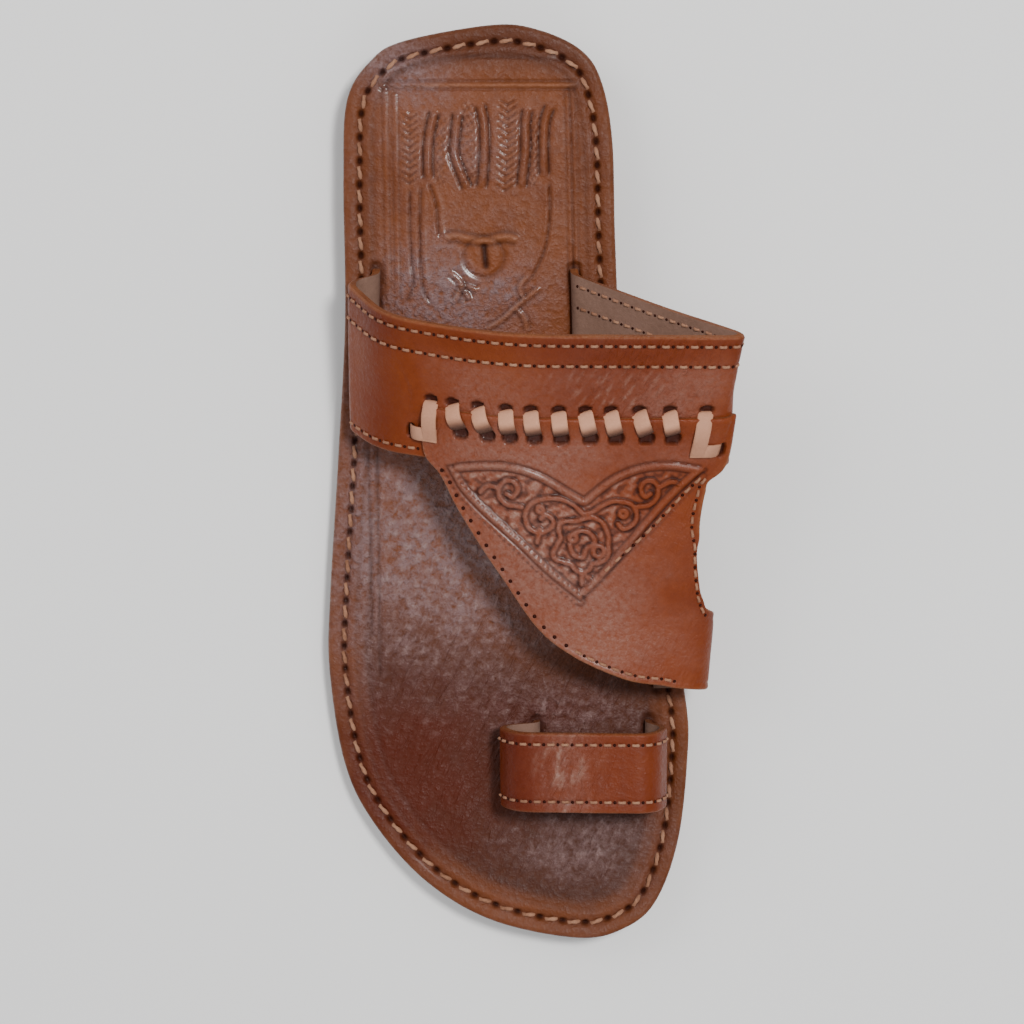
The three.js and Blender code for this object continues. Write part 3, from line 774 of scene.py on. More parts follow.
# colour layers: painted shade, painted sheen, a darker tone that is partly painted shade, edge wear with
# painted highlights, painted glints, and painted shade in hollows
bedLeather = leatherMaterial("bedLeather", bedLook, [
    (toneAndShadeGroup, "ToneAndShade", "381709", "shade", 0.92, 0.3, 0.0),
    (paintedSheenGroup, "PaintedSheen", "765a58", "paintedSheen", 0.85, 2.6, -0.06),
    (toneAndShadeGroup, "ToneAndShade", "4b1703", "deepToneAndShade", 0.92, 0.4, 0.0),
    (wearAndHighlightGroup, "WearAndHighlight", "94644a", "wearAndHighlight", 0.5, 1.2, 0.08),
    (paintedSheenGroup, "PaintedSheen", "8a706c", "glint", 0.55, 2.5, -0.12),
    (toneAndShadeGroup, "ToneAndShade", "2a0b03", "cavityShade", 0.95, 0.2, 0.1),
], wrinkles=0.3, sheenMask="paintedSheen")
soleLeather = leatherMaterial("soleLeather", soleLook)
# painted shade, darker where the slats go down into their slits
thongLeather = leatherMaterial("thongLeather", thongLook, [
    (toneAndShadeGroup, "ToneAndShade", "5a3c30", "slatShade", 1.0, 0.2, 0.0),
])
waxedThread = leatherMaterial("waxedThread", threadLook)
needleHoleShade = leatherMaterial("needleHoleShade", holeShadeLook)
print("materials ready")


# footbed: the stitched rim, the worn bed, and the tooled heel

footbedParts = {
    "perSide": 600,
    "columns": 112,
    "denseEnd": 0.36,
    "denseShare": 0.45,
    "edgeRound": 1.5,
    "holePitch": 7.0,
    "holeDepth": 1.3,
    "holeRadii": (1.05, 0.75),
    "padHeight": 0.5,
    "slotDepth": 0.9,
    "underColumns": 4,
    "wallDrops": [(0.02, 2.4), (0.1, 3.4), (0.55, 4.5)],
}
rimInsets = np.array([0, 0.1, 0.28, 0.55, 0.9, 1.35, 1.9, 2.5, 3.0, 3.4, 3.8, 4.15, 4.5, 4.9, 5.3, 5.65, 6.0,
                      6.4, 6.9, 7.6, 8.4, 9.4])
denseCount = int(footbedParts["perSide"] * footbedParts["denseShare"])
sideShares = np.concatenate([
    np.linspace(0, footbedParts["denseEnd"], denseCount, endpoint=False),
    np.linspace(footbedParts["denseEnd"], 1, footbedParts["perSide"] - denseCount + 1),
])
ringPoints, ringInward = soleRing(sideShares)
ringCount = len(ringPoints)
sideCount = len(sideShares)


def pairedColumns(ring, columns):
    # rows of points between the outer and the inner side of a ring, without the ring's own
    outer = ring[:sideCount]
    inner = np.vstack([ring[:1], ring[:sideCount - 2:-1]])
    t = np.linspace(0, 1, columns + 1)[None, :, None]
    return (outer[:, None] * (1 - t) + inner[:, None] * t)[1:-1, 1:-1].reshape(-1, 2)


def capFaces(ringStart, innerStart, columns, flip=False):
    # faces over those rows; the two tips are single points
    ids = np.empty((sideCount, columns + 1), int)
    ids[:, 0] = ringStart + np.arange(sideCount)
    ids[0, :] = ringStart
    ids[-1, :] = ringStart + sideCount - 1
    ids[1:-1, -1] = ringStart + np.arange(ringCount - 1, sideCount - 1, -1)
    ids[1:-1, 1:-1] = innerStart + np.arange((sideCount - 2) * (columns - 1)).reshape(sideCount - 2, -1)
    body = np.stack([ids[1:-2, :-1], ids[1:-2, 1:], ids[2:-1, 1:], ids[2:-1, :-1]], -1).reshape(-1, 4)
    heel = np.stack([ids[0, :-1], ids[1, 1:], ids[1, :-1]], -1)
    toe = np.stack([ids[-2, :-1], ids[-2, 1:], ids[-1, 1:]], -1)
    faces = [body, heel, toe]
    return [f[:, ::-1] for f in faces] if flip else faces


def rimHoles(pitch):
    # where the saddle stitch goes through, all round at the stitch inset
    path = insetOutline(sandal["stitchInset"])
    path = np.vstack([path, path[:1]])
    count = int(round(walkLength(path) / pitch))
    places, tangents, _ = alongCurve(path, np.arange(count) / count)
    return places, tangents


holePlaces, holeWays = rimHoles(footbedParts["holePitch"])


def slotLines():
    # where the straps' feet go down into the bed
    rows = np.linspace(0, 1, 12)
    lines = [surfaceAt(upperTable, foot, rows)[0][:, :2] for foot in (0.0, 1.0)]
    lines.append(surfaceAt(upperTable, 1.0, np.linspace(3, 4, 12), 1.7)[0][:, :2])
    lines += [surfaceAt(loopTable, foot, rows)[0][:, :2] for foot in (0.0, 1.0)]
    return lines


heelTop = [(28.1, -19), (-28, -19)]
heelSides = {
    "outer": [(27.6, -18), (27.4, 3), (26.9, 38), (26.6, 52)],
    "outerSecond": [(24.7, -16), (24.4, 3), (24.1, 26), (24, 52)],
    "inner": [(-27.6, -18), (-28.4, 0), (-29, 32.5), (-29.2, 52)],
    "innerSecond": [(-26.3, -17), (-26.9, 0), (-27.5, 32), (-27.8, 52)],
}
heelStep = [(27.5, -19.5), (25.4, -21.7), (22.5, -23.4), (17.7, -25.5), (11.2, -26.9), (3, -27.5),
            (-6.5, -27.2), (-18.3, -26.9), (-24.8, -26), (-28.3, -24)]
heelVees = [(8.3, -20.8), (4.5, -22.8), (1.2, -20.8), (-1.7, -22.8), (-5, -20.8), (-7.9, -22.8), (-10, -20.8)]
fingerRidges = [
    [(12.8, -11.8), (14.5, -3.9), (14.9, 3.6), (14.6, 9)],
    [(6, -11.4), (6.8, -3.9), (7, 1.3), (4.9, 7.3), (3, 11.8)],
    [(-0.4, -14), (-1.7, -7.7), (-1.9, -0.2), (-1.5, 6.6), (-0.9, 11.8)],
    [(-14.7, -12.5), (-14, -7.7), (-14, -0.2), (-13.2, 7.3), (-12.8, 11.5)],
    [(-21.5, -13.3), (-20, -9.5), (-19.4, -3.9), (-19.4, 3.6), (-19.6, 8)],
]
fingerHatches = [
    # middle line from top to root, half width, slanted leaves or small dabs
    ([(20.2, -11.6), (20.4, 8.5)], 2.5, True),
    ([(10.5, -10.2), (10.9, -3.2), (11, 8.8)], 1.7, False),
    ([(2.6, -14.4), (3, -2.4), (2.7, 9.2)], 2.1, False),
    ([(-8.7, -15.1), (-8.7, -2.4), (-7.9, 9.6)], 2.9, True),
    ([(-16.8, -10.7), (-16.6, -0.2), (-16.2, 9.6)], 1.3, False),
]
palmLines = [
    [(14.6, 9.4), (12.5, 16.2), (12, 22.1), (11.4, 26)],
    [(-21, 8.9), (-21.3, 17.7), (-20.4, 26.6), (-18.3, 33.1), (-15.1, 39)],
    [(20.2, 10.6), (20.3, 23.6), (19.7, 34), (19.4, 39.9), (21.8, 46)],
    [(17, 10), (17.3, 23.6), (17, 33.1), (16.2, 41.4), (13.6, 46)],
]
twigs = [
    [(8.4, 36), (5.2, 39.6), (7, 45.2)],
    [(5.2, 39.6), (2.5, 44.4)],
    [(5.2, 39.6), (0.1, 41.4)],
    [(-2.2, 53.2), (-7, 50.3), (-10.9, 46.7), (-14.8, 43.5), (-18.6, 40.5)],
    [(-10.9, 46.7), (-13.6, 49.7), (-14.6, 53.6)],
    [(-13.6, 44.4), (-12.4, 40.5), (-14.5, 37.5)],
]
browLine = [(10.5, 26), (6.6, 25.4), (2.5, 26.3), (-2.9, 26.6), (-7.9, 25.7), (-12.4, 26.6)]
eyeCentre, eyeSlit = (-1.7, 31.6), [(-1.7, 28.6), (-2.3, 34.3)]


# what each tool leaves on the heel, with painted shade (dark) in its lines and painted highlights (light) on
# its ridges: amount, distance from its line and width, in millimetres
heelMarks = {
    "top": {"height": [(0.3, 0, 0.55), (-0.25, 1.2, 0.5)], "dark": [(0.3, 1.2, 0.5)]},
    "side": {"height": [(0.16, 0, 0.45), (-0.14, 0.9, 0.4)], "dark": [(0.3, 0.9, 0.4)]},
    "step": {"height": [(-0.25, 0, 0.7)], "dark": [(0.45, 0, 0.7)]},
    "vees": {"height": [(0.16, 0, 0.6)]},
    "finger": {"height": [(0.45, 0, 0.9), (-0.4, 1.5, 0.5)], "dark": [(0.85, 1.5, 0.5)]},
    "palm": {"height": [(0.2, 1.0, 0.6), (-0.35, 0, 0.5)], "dark": [(0.55, 0, 0.5)]},
    "twig": {"height": [(0.35, 0, 0.5), (-0.2, 1.1, 0.5)], "dark": [(0.4, 1.1, 0.5)],
             "light": [(0.6, 0, 0.5)]},
    "brow": {"height": [(0.5, 0, 0.9)], "dark": [(0.5, 1.6, 0.6)], "light": [(0.8, 0, 0.8)]},
    "eyeRim": {"height": [(-0.3, 6.0, 0.6)], "dark": [(0.35, 6.0, 0.6)]},
    "eyeSlit": {"height": [(-0.8, 0, 0.8)], "dark": [(1.2, 0, 0.9)]},
}
eyeRadius, eyeHeight = 5.4, 0.5
leafPitch, dabPitch = 2.1, 2.6


def lineMark(xy, line, steps=6):
    # distance to a curve through the points, and a share that fades at its two ends
    gap, share = lineDistance(xy, curveThrough(line, steps))
    return gap, smoothStep(0, 0.07, share) * (1 - smoothStep(0.93, 1, share))


def fillFinger(layers, xy, line, half, leaves):
    # slanted leaves beside a spine, or small dabs, in a finger of the hand
    path = curveThrough(line, 6)
    gap, share = lineDistance(xy, path)
    aside = xy[:, 0] - np.interp(xy[:, 1], path[:, 1], path[:, 0])
    within = (1 - smoothStep(0.75 * half, 1.1 * half, gap)) * smoothStep(0, 0.04, share)
    # dark is painted shade in the low parts, light a painted highlight on the raised ones
    if leaves:
        pattern = np.sin((xy[:, 1] + 0.75 * np.abs(aside)) * 2 * np.pi / leafPitch)
        spine = near(aside, 0.35)
        layers["height"] += (0.15 * pattern - 0.1 * spine + 0.1 * waves(xy, 3, 45, 2)) * within
        layers["dark"] += (0.35 * (pattern < -0.35) + 0.2 * spine) * within
    else:
        pattern = (np.sin(aside * 2 * np.pi / (1.1 * half) + 0.8)
                   * np.sin(xy[:, 1] * 2 * np.pi / dabPitch + xy[:, 0]))
        layers["height"] += 0.16 * pattern * within
        layers["dark"] += 0.3 * (pattern < -0.3) * within
    layers["light"] += 0.25 * (pattern > 0.2) * within


def heelTooling(xy):
    # pressed frame, hand and twigs: height, the painted shade in the lines, and the painted highlights on the
    # ridges
    layers = {key: np.zeros(len(xy)) for key in ("height", "dark", "light")}
    gap, _ = lineDistance(xy, heelTop)
    pressLine(layers, heelMarks["top"], gap)
    # a painted highlight along the top line, fading towards the outer edge
    layers["light"] += 0.7 * near(gap, 0.6) * smoothStep(24, 10, xy[:, 0])
    fade = 1 - smoothStep(36, 52, xy[:, 1])
    for line in heelSides.values():
        pressLine(layers, heelMarks["side"], lineDistance(xy, line)[0], fade)
    pressLine(layers, heelMarks["step"], lineDistance(xy, curveThrough(heelStep, 5))[0])
    pressLine(layers, heelMarks["vees"], lineDistance(xy, heelVees)[0])
    for line in fingerRidges:
        pressLine(layers, heelMarks["finger"], *lineMark(xy, line))
    for line, half, leaves in fingerHatches:
        fillFinger(layers, xy, line, half, leaves)
    for line in palmLines:
        pressLine(layers, heelMarks["palm"], *lineMark(xy, line))
    for line in twigs:
        pressLine(layers, heelMarks["twig"], *lineMark(xy, line, 4))
    pressLine(layers, heelMarks["brow"], *lineMark(xy, browLine))
    fromEye = np.hypot(*(xy - np.array(eyeCentre)).T)
    layers["height"] += eyeHeight * np.sqrt(np.maximum(0, 1 - (fromEye / eyeRadius) ** 2))
    pressLine(layers, heelMarks["eyeRim"], fromEye)
    pressLine(layers, heelMarks["eyeSlit"], lineDistance(xy, eyeSlit)[0])
    return layers["height"], layers["dark"], layers["light"]


def stitchHoles(xy):
    # how deep each place lies in a stitch hole, 0 to 1
    long, wide = footbedParts["holeRadii"]
    holes = np.zeros(len(xy))
    for (px, py), (tx, ty) in zip(holePlaces, holeWays):
        close = (np.abs(xy[:, 0] - px) < 2.4) & (np.abs(xy[:, 1] - py) < 2.4)
        d = xy[close] - (px, py)
        far = (d @ (tx, ty) / long) ** 2 + (d @ (-ty, tx) / wide) ** 2
        holes[close] = np.maximum(holes[close], np.exp(-far ** 1.5))
    return holes


# two lines drawn beside the outer edge of the bed
bedLines = [[(33.3, 84), (32.9, 110), (32.4, 146)], [(30.6, 84), (30.4, 110), (30.0, 158)]]
# cavityShade is painted shade in the pressed lines and the stitch groove
bedMarks = {
    # for lines that follow the rim, the distance from the line is the inset from the edge
    "rim": {"height": [(0.12, 7.4, 0.6), (-0.14, 8.6, 0.8)], "cavityShade": [(0.2, 8.6, 0.8)]},
    "stitches": {"height": [(-0.5, sandal["stitchInset"], 1.3)],
                 "cavityShade": [(0.3, sandal["stitchInset"], 1.0)]},
    "front": {"height": [(-0.16, 12.0, 0.8)], "cavityShade": [(0.2, 12.0, 0.8)]},
    "drawn": {"height": [(-0.3, 0, 0.5)], "cavityShade": [(0.5, 0, 0.5)]},
}
# soft spots for the masks: painted sheen, more painted sheen at the heel and its outer back corner with less
# on the eye, a darker tone that is partly painted shade, and wrinkles
bedSpots = {
    # strength, centre, radii, turn
    "paintedSheen": [(1, (8, 118), (32, 36)), (0.45, (-32, 210), (20, 12)), (0.3, (36, 110), (10, 60)),
              (0.5, (-24, 170), (26, 8)), (0.35, (4, 0), (20, 12))],
    "heelPaintedSheen": [(1.1, (8, 42), (22, 15))],
    "heelCorner": [(0.9, (24, -24), (14, 9), -35), (-0.9, eyeCentre, (7, 7))],
    "deepToneAndShade": [(1, (22, 182), (26, 22), 20), (0.6, (16, 200), (26, 18)), (0.5, (-20, 168), (20, 8))],
    "toeWrinkle": [(0.5, (-32, 214), (22, 16))],
}


def bedSurface(xy, inset):
    # height over the plain bed, and the masks
    setup, y = footbedParts, xy[:, 1]
    along = (y + sandal["heelCentre"]) / sandal["soleLength"]
    front = smoothStep(0.42, 0.5, along) * (1 - smoothStep(0.85, 0.93, along))
    inner = smoothStep(8, 13, inset)
    layers = {"height": -roundOff(inset, setup["edgeRound"]), "cavityShade": np.zeros(len(xy))}
    pressLine(layers, bedMarks["stitches"], inset)
    pressLine(layers, bedMarks["rim"], inset)
    pressLine(layers, bedMarks["front"], inset, front)
    for line in bedLines:
        pressLine(layers, bedMarks["drawn"], lineDistance(xy, line)[0])
    height, cavityShade = layers["height"], layers["cavityShade"]
    height += setup["padHeight"] * smoothStep(11, 26, inset)
    height += 0.12 * waves(xy, 26, 3, 2) * smoothStep(6, 14, inset)
    heel = y < 58
    # the heel's tooling: relief, painted shade in its lines, and painted highlights on its ridges
    tooled, dark, light = heelTooling(xy[heel])
    height[heel] += tooled
    cavityShade[heel] += dark
    # stitch holes are dipped and darkened with painted shade
    reach = np.abs(inset - sandal["stitchInset"]) < 2.2
    holes = stitchHoles(xy[reach])
    height[reach] -= setup["holeDepth"] * holes
    cavityShade[reach] += 0.95 * holes
    # slots are dipped, with painted shade where the straps go into the bed
    for line in slotLines():
        gap, _ = lineDistance(xy, line)
        height -= setup["slotDepth"] * (1 - smoothStep(1.2, 2.4, gap))
        cavityShade += 0.7 * near(gap, 2.2)
    # painted sheen in soft uneven spots
    paintedSheen = spotSum(xy, bedSpots["paintedSheen"]) + spotSum(xy, bedSpots["heelPaintedSheen"]) * inner
    paintedSheen = paintedSheen * (1 + 0.45 * waves(xy, 12, 5)) + 0.08 * waves(xy, 22, 6)
    paintedSheen[heel] += spotSum(xy[heel], bedSpots["heelCorner"])
    # edge wear along the rim, and on the heel the painted highlights of the tooling
    wearAndHighlight = 0.4 * near(inset, 1.2) * (0.6 + 0.6 * waves(xy, 12, 8))
    wearAndHighlight[heel] += light
    shade = smoothStep(118, 168, y + 0.25 * xy[:, 0]) * inner + 0.4 * smoothStep(-12, -30, y)
    # in the front part of the painted sheen: small ridges, with painted glints on them
    ridges = crinkle(xy, 4.2, 51)
    frontSheen = np.clip(paintedSheen, 0, 1) * smoothStep(60, 90, y) * inner
    height += 0.08 * ridges * frontSheen
    masks = {
        "paintedSheen": paintedSheen,
        # a darker tone, partly painted shade
        "deepToneAndShade": spotSum(xy, bedSpots["deepToneAndShade"]) * (1 + 0.3 * waves(xy, 16, 6)),
        "wearAndHighlight": wearAndHighlight,
        "cavityShade": cavityShade,
        "wrinkle": smoothStep(12, 20, inset) * smoothStep(60, 95, y) + spotSum(xy, bedSpots["toeWrinkle"]),
        "shade": shade + 0.3 * (1 - inner),
        "glint": frontSheen * smoothStep(0.15, 0.8, ridges),
    }
    return height, {key: np.clip(value, 0, 1) for key, value in masks.items()}


def makeFootbed():
    columns, underColumns = footbedParts["columns"], footbedParts["underColumns"]
    rings = [ringPoints + ringInward * inset for inset in rimInsets]
    field = pairedColumns(rings[-1], columns)
    xy = np.vstack([*rings, field])
    inset = np.concatenate([np.repeat(rimInsets, ringCount), edgeDistance(field)])
    height, masks = bedSurface(xy, inset)
    top = np.column_stack([xy, footbedTop + riseAt(xy[:, 1]) + height])
    # the edge goes down to the glue line
    wallDrops = footbedParts["wallDrops"]
    walls = []
    for insetBelow, drop in wallDrops:
        line = ringPoints + ringInward * insetBelow
        walls.append(np.column_stack([line, footbedTop + riseAt(line[:, 1]) - drop]))
    under = pairedColumns(walls[-1][:, :2], underColumns)
    bottom = np.column_stack([under, footbedTop + riseAt(under[:, 1]) - wallDrops[-1][1]])
    wallStart = len(top)
    around = np.arange(ringCount)
    ahead = (around + 1) % ringCount
    faces = [
        gridFaces(len(rimInsets), ringCount, flip=True, wrap=True),
        *capFaces((len(rimInsets) - 1) * ringCount, len(rimInsets) * ringCount, columns, flip=True),
        np.stack([wallStart + around, wallStart + ahead, ahead, around], -1),
        gridFaces(len(wallDrops), ringCount, wallStart, wrap=True),
        *capFaces(wallStart + (len(wallDrops) - 1) * ringCount, wallStart + len(wallDrops) * ringCount,
                  underColumns),
    ]
    kinds = np.concatenate([np.full(len(f), 0 if k < 4 else 1) for k, f in enumerate(faces)])
    points = np.vstack([top, *walls, bottom])
    extra = np.zeros(len(points) - len(top))
    masks = {key: np.concatenate([value, extra]) for key, value in masks.items()}
    piece = makeMesh("footbed_leather", points, faces, [bedLeather, soleLeather], kinds, masks)
    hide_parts("footbed")


makeFootbed()
print("footbed made")


# outsole and low heel, in stained sole leather

outsoleParts = {
    "inset": 0.5,
    # the edge from the tread up: how far it lies inside the inset, and its height
    "edge": [(0.9, 0), (0.27, 0.27), (0, 0.9), (0, 2.2), (0.12, 2.6), (0, 3.0), (0, 4.6),
             (0.25, sandal["outsole"])],
    "heelEdge": [(0.9, 0), (0.3, 0.25), (0, 0.9)],
    "columns": 14,
    "heelLayers": 2,
    "seamWidth": 0.35,
    "seamDepth": 0.3,
}


def makeOutsole():
    levels, columns = outsoleParts["edge"], outsoleParts["columns"]
    rings = []
    for inset, height in levels:
        line = ringPoints + ringInward * (outsoleParts["inset"] + inset)
        rings.append(np.column_stack([line, height + riseAt(line[:, 1])]))
    caps = []
    for ring, (_, height) in ((rings[0], levels[0]), (rings[-1], levels[-1])):
        field = pairedColumns(ring[:, :2], columns)
        caps.append(np.column_stack([field, height + riseAt(field[:, 1])]))
    start = len(rings) * ringCount
    faces = [
        gridFaces(len(rings), ringCount, flip=True, wrap=True),
        *capFaces(0, start, columns),
        *capFaces((len(rings) - 1) * ringCount, start + len(caps[0]), columns, flip=True),
    ]
    piece = makeMesh("outsole_leather", np.vstack([*rings, *caps]), faces, [soleLeather])
    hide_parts("outsole")


def heelOutline():
    # the heel's plan: round the back of the sole, closed by the hollowed breast
    radius = sandal["heelBreastRadius"]
    front = float(lengthwise(sandal["heelEnd"])) - sandal["ballWidth"] / 20
    line = insetOutline(outsoleParts["inset"])
    line = np.roll(line, len(line) // 2, 0)
    free = ((np.hypot(line[:, 0], line[:, 1] - front - radius) > radius)
            & (line[:, 1] < front + radius / 4))
    back, _, _ = alongCurve(line[free], np.linspace(0, 1, 360))
    ends = [math.atan2(y - front - radius, x) for x, y in (back[-1], back[0])]
    angles = np.linspace(*ends, 60)
    breast = np.stack([radius * np.cos(angles), front + radius + radius * np.sin(angles)], -1)
    return np.vstack([back, breast[1:-1]])


def makeHeel():
    ring = heelOutline()
    count = len(ring)
    ways = np.roll(ring, -1, 0) - np.roll(ring, 1, 0)
    ways /= np.linalg.norm(ways, axis=1, keepdims=True)
    inward = np.stack([-ways[:, 1], ways[:, 0]], -1)
    lift, layers = sandal["heelLift"], outsoleParts["heelLayers"]
    seam, depth = outsoleParts["seamWidth"], outsoleParts["seamDepth"]
    levels = list(outsoleParts["heelEdge"])
    for k in range(1, layers + 1):
        top = k * lift / layers
        levels += [(0, top - seam), (depth, top), (0, top + seam)]
    rings = []
    for inset, height in levels:
        line = ring + inward * inset
        rings.append(np.column_stack([line, np.minimum(height, riseAt(line[:, 1]) + 0.25 + 0.01 * height)]))
    centre = ring.mean(0)
    around = np.arange(count)
    start = len(rings) * count
    below = np.stack([np.roll(around, -1), around, np.full(count, start)], -1)
    above = np.stack([around, np.roll(around, -1), np.full(count, start + 1)], -1)
    above[:, :2] += (len(rings) - 1) * count
    middles = [[*centre, rings[0][:, 2].mean()], [*centre, rings[-1][:, 2].mean()]]
    faces = [gridFaces(len(rings), count, flip=True, wrap=True), below, above]
    piece = makeMesh("heel_lifts", np.vstack([*rings, middles]), faces, [soleLeather])
    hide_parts("outsole")


makeOutsole()
makeHeel()
print("outsole and heel made")


# the instep band, with the slits for the thong

lacing = {
    "turns": [
        (0.281, 0.295), (0.319, 0.335), (0.36, 0.368), (0.396, 0.404), (0.436, 0.443), (0.474, 0.486),
        (0.511, 0.524), (0.552, 0.569), (0.596, 0.608),
    ],
    "topRow": 0.545,
    "bottomRow": 0.745,
    "firstEnd": {"across": 0.249, "barRow": 0.79, "barFrom": 0.215},
    "lastEnd": {"across": 0.649, "barRow": 0.835, "barFrom": 0.683},
    "width": 4.5,
    "thickness": 1.2,
    "topSlit": (1.9, 1.3),
    "bottomSlit": (2.3, 1.9),
    "sideSlit": (2.3, 1.1),
    "slitDepth": 1.7,
}


def slitDents(across, row):
    # dents for the thong's slits on the upper: two to a turn, and at each end one above and one aside
    above, below = lacing["topRow"] - 0.014, lacing["bottomRow"] - 0.01
    wideTop, tallTop = lacing["topSlit"]
    wideLow, tallLow = lacing["bottomSlit"]
    long, thin = lacing["sideSlit"]
    places = [(top, above, wideTop, tallTop) for top, _ in lacing["turns"]]
    places += [(low, below, wideLow, tallLow) for _, low in lacing["turns"]]
    for end in (lacing["firstEnd"], lacing["lastEnd"]):
        places += [(end["across"], above, wideTop, tallTop), (end["barFrom"], end["barRow"], thin, long)]
    dent = np.zeros(np.shape(across))
    for placeAcross, placeRow, halfU, halfV in places:
        u = (across - placeAcross) * acrossLength / halfU
        v = (row - placeRow) * rowLength / halfV
        dent = np.maximum(dent, 1 - smoothStep(0.4, 1.5, np.abs(u) ** 2.6 + np.abs(v) ** 2.6))
    return dent


def creaseHeight(flat, creases, scale):
    # creases given one by one: a trough with a soft ridge beside it, fading at both ends
    height = np.zeros(len(flat))
    for line, depth in creases:
        path = curveThrough([(x * scale[0], y * scale[1]) for x, y in line], 8)
        gap, share = lineDistance(flat, path)
        ease = np.sin(np.pi * np.clip(share, 0.02, 0.98))
        height += depth * (0.5 * near(gap - 1.6, 1.0) - near(gap, 0.8)) * ease
    return height


def strapSheet(setup, creases, length, width):
    # a strap laid flat in millimetres: its shares, its edge distance, the height of rounded edges, seam
    # troughs, creases and soft unevenness, the small ridges where it bends, and the painted shade in its
    # seams
    aShares = np.linspace(0, 1, setup["acrossCount"])
    bShares = refined(setup["rowCount"], setup["edgeRound"], width)
    a, b = np.meshgrid(aShares, bShares, indexing="ij")
    flat = np.stack([a.ravel() * length, b.ravel() * width], -1)
    edge = np.minimum(b, 1 - b) * width
    height = -roundOff(edge, setup["edgeRound"])
    for row in (*setup["seamRows"], *setup["otherTroughs"]):
        height -= setup["seamDip"] * near((b - row) * width, setup["seamWide"])
    amount, size, seed = setup["unevenness"]
    height += creaseHeight(flat, creases, (length, width)).reshape(a.shape)
    height += amount * waves(flat, size, seed, 2).reshape(a.shape)
    ridges = crinkle(flat, *setup["crinkle"]).reshape(a.shape)
    seamShade = 0.25 * sum(near((b - row) * width, 0.5) for row in setup["seamRows"])
    return aShares, bShares, a, b, flat, edge, height, ridges, seamShade


bandParts = {
    "acrossCount": 329,
    "rowCount": 71,
    "edgeRound": 0.8,
    "seamRows": (0.07, 0.215),
    "otherTroughs": (0.93,),
    "seamDip": 0.14,
    "seamWide": 0.8,
    "unevenness": (0.07, 30, 11),
    "crinkle": (3.2, 13, 3.5, 0.5),
    "crinkleHeight": 0.07,
}
bandCreases = [
    # across and row, then depth in millimetres: where the band bends beside the instep
    ([(0.47, 0.2), (0.49, 0.32), (0.5, 0.44)], 0.16),
    ([(0.5, 0.14), (0.525, 0.28), (0.535, 0.42)], 0.2),
    ([(0.54, 0.16), (0.555, 0.3), (0.575, 0.45)], 0.16),
    ([(0.575, 0.24), (0.59, 0.34), (0.6, 0.46)], 0.18),
    ([(0.2, 0.3), (0.215, 0.5), (0.21, 0.7)], 0.2),
]


def bandPlace(a, b, n):
    return surfaceAt(upperTable, a, b, n)[0]


def makeBand():
    aShares, bShares, a, b, flat, edge, height, ridges, seamShade = strapSheet(
        bandParts, bandCreases, acrossLength, rowLength)
    dent = slitDents(a, b)
    bent = near(a - 0.51, 0.08) * smoothStep(0.2, 0.3, b) * (1 - smoothStep(0.46, 0.56, b))
    height += bandParts["crinkleHeight"] * ridges * bent - lacing["slitDepth"] * dent
    # painted sheen in three soft bands across the strap
    paintedSheen = 0.7 * near(a - 0.33, 0.06) + 0.25 * near(a - 0.47, 0.07) + 0.6 * near(a - 0.6, 0.07)
    paintedSheen = paintedSheen * smoothStep(0.16, 0.3, b) + 0.18 * waves(flat, 24, 12).reshape(a.shape)
    masks = {
        "paintedSheen": np.clip(paintedSheen, 0, 1),
        # a darker tone, partly painted shade where the band turns down at its sides
        "deepToneAndShade": np.clip(0.5 * near(a - 0.16, 0.05) + 0.3 * near(a - 0.8, 0.08) + 0.3 * smoothStep(0.3, 0.1, b)
                        + 0.3 * near(a - 0.48, 0.1), 0, 1),
        "wearAndHighlight": near(edge, 0.6) * 0.45,
        "cavityShade": np.clip(1.5 * dent + seamShade, 0, 1),
        # painted glints on the small ridges where it bends
        "glint": 0.26 * bent * smoothStep(0.1, 0.9, ridges),
        "wrinkle": smoothStep(0.42, 0.5, a) * (1 - smoothStep(0.62, 0.7, a)),
    }
    piece = slabMesh("instep_band", bandPlace, aShares, bShares, bandHigh + height, bandLow, masks)
    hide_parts("upper")


makeBand()
print("instep band made")


# the front panel with its tooled heart

panelParts = {
    "downCount": 321,
    "overCount": 237,
    "edgeRound": 0.8,
    "seamDip": 0.14,
    "ribbon": 0.7,
    "relief": 0.6,
    "ground": 0.4,
}
heart = {
    "topLeft": [(8.9, 92.1), (5.1, 91.1), (-0.7, 90.6), (-6.5, 90.5), (-12.3, 91.4), (-18.1, 93.4),
                (-22.5, 95.8), (-26.8, 98.5), (-30.9, 100.9)],
    "topRight": [(-30.9, 100.9), (-35.5, 97), (-39.9, 94), (-45.6, 91.6), (-51.4, 90.5), (-57.2, 90.5),
                 (-64.5, 91.7)],
    "right": [(-66.2, 92.6), (-61.7, 96.5), (-56, 102.1), (-50.2, 108.9), (-45.9, 114.3), (-41.5, 119.3),
              (-37.2, 124.4), (-32.8, 128.9), (-29.9, 131.6)],
    "left": [(-29.9, 131.6), (-24, 126.8), (-18.2, 121.7), (-12.3, 115.8), (-6.5, 110.5), (-0.7, 105.2),
             (5.2, 98.8), (8.9, 92.1)],
}
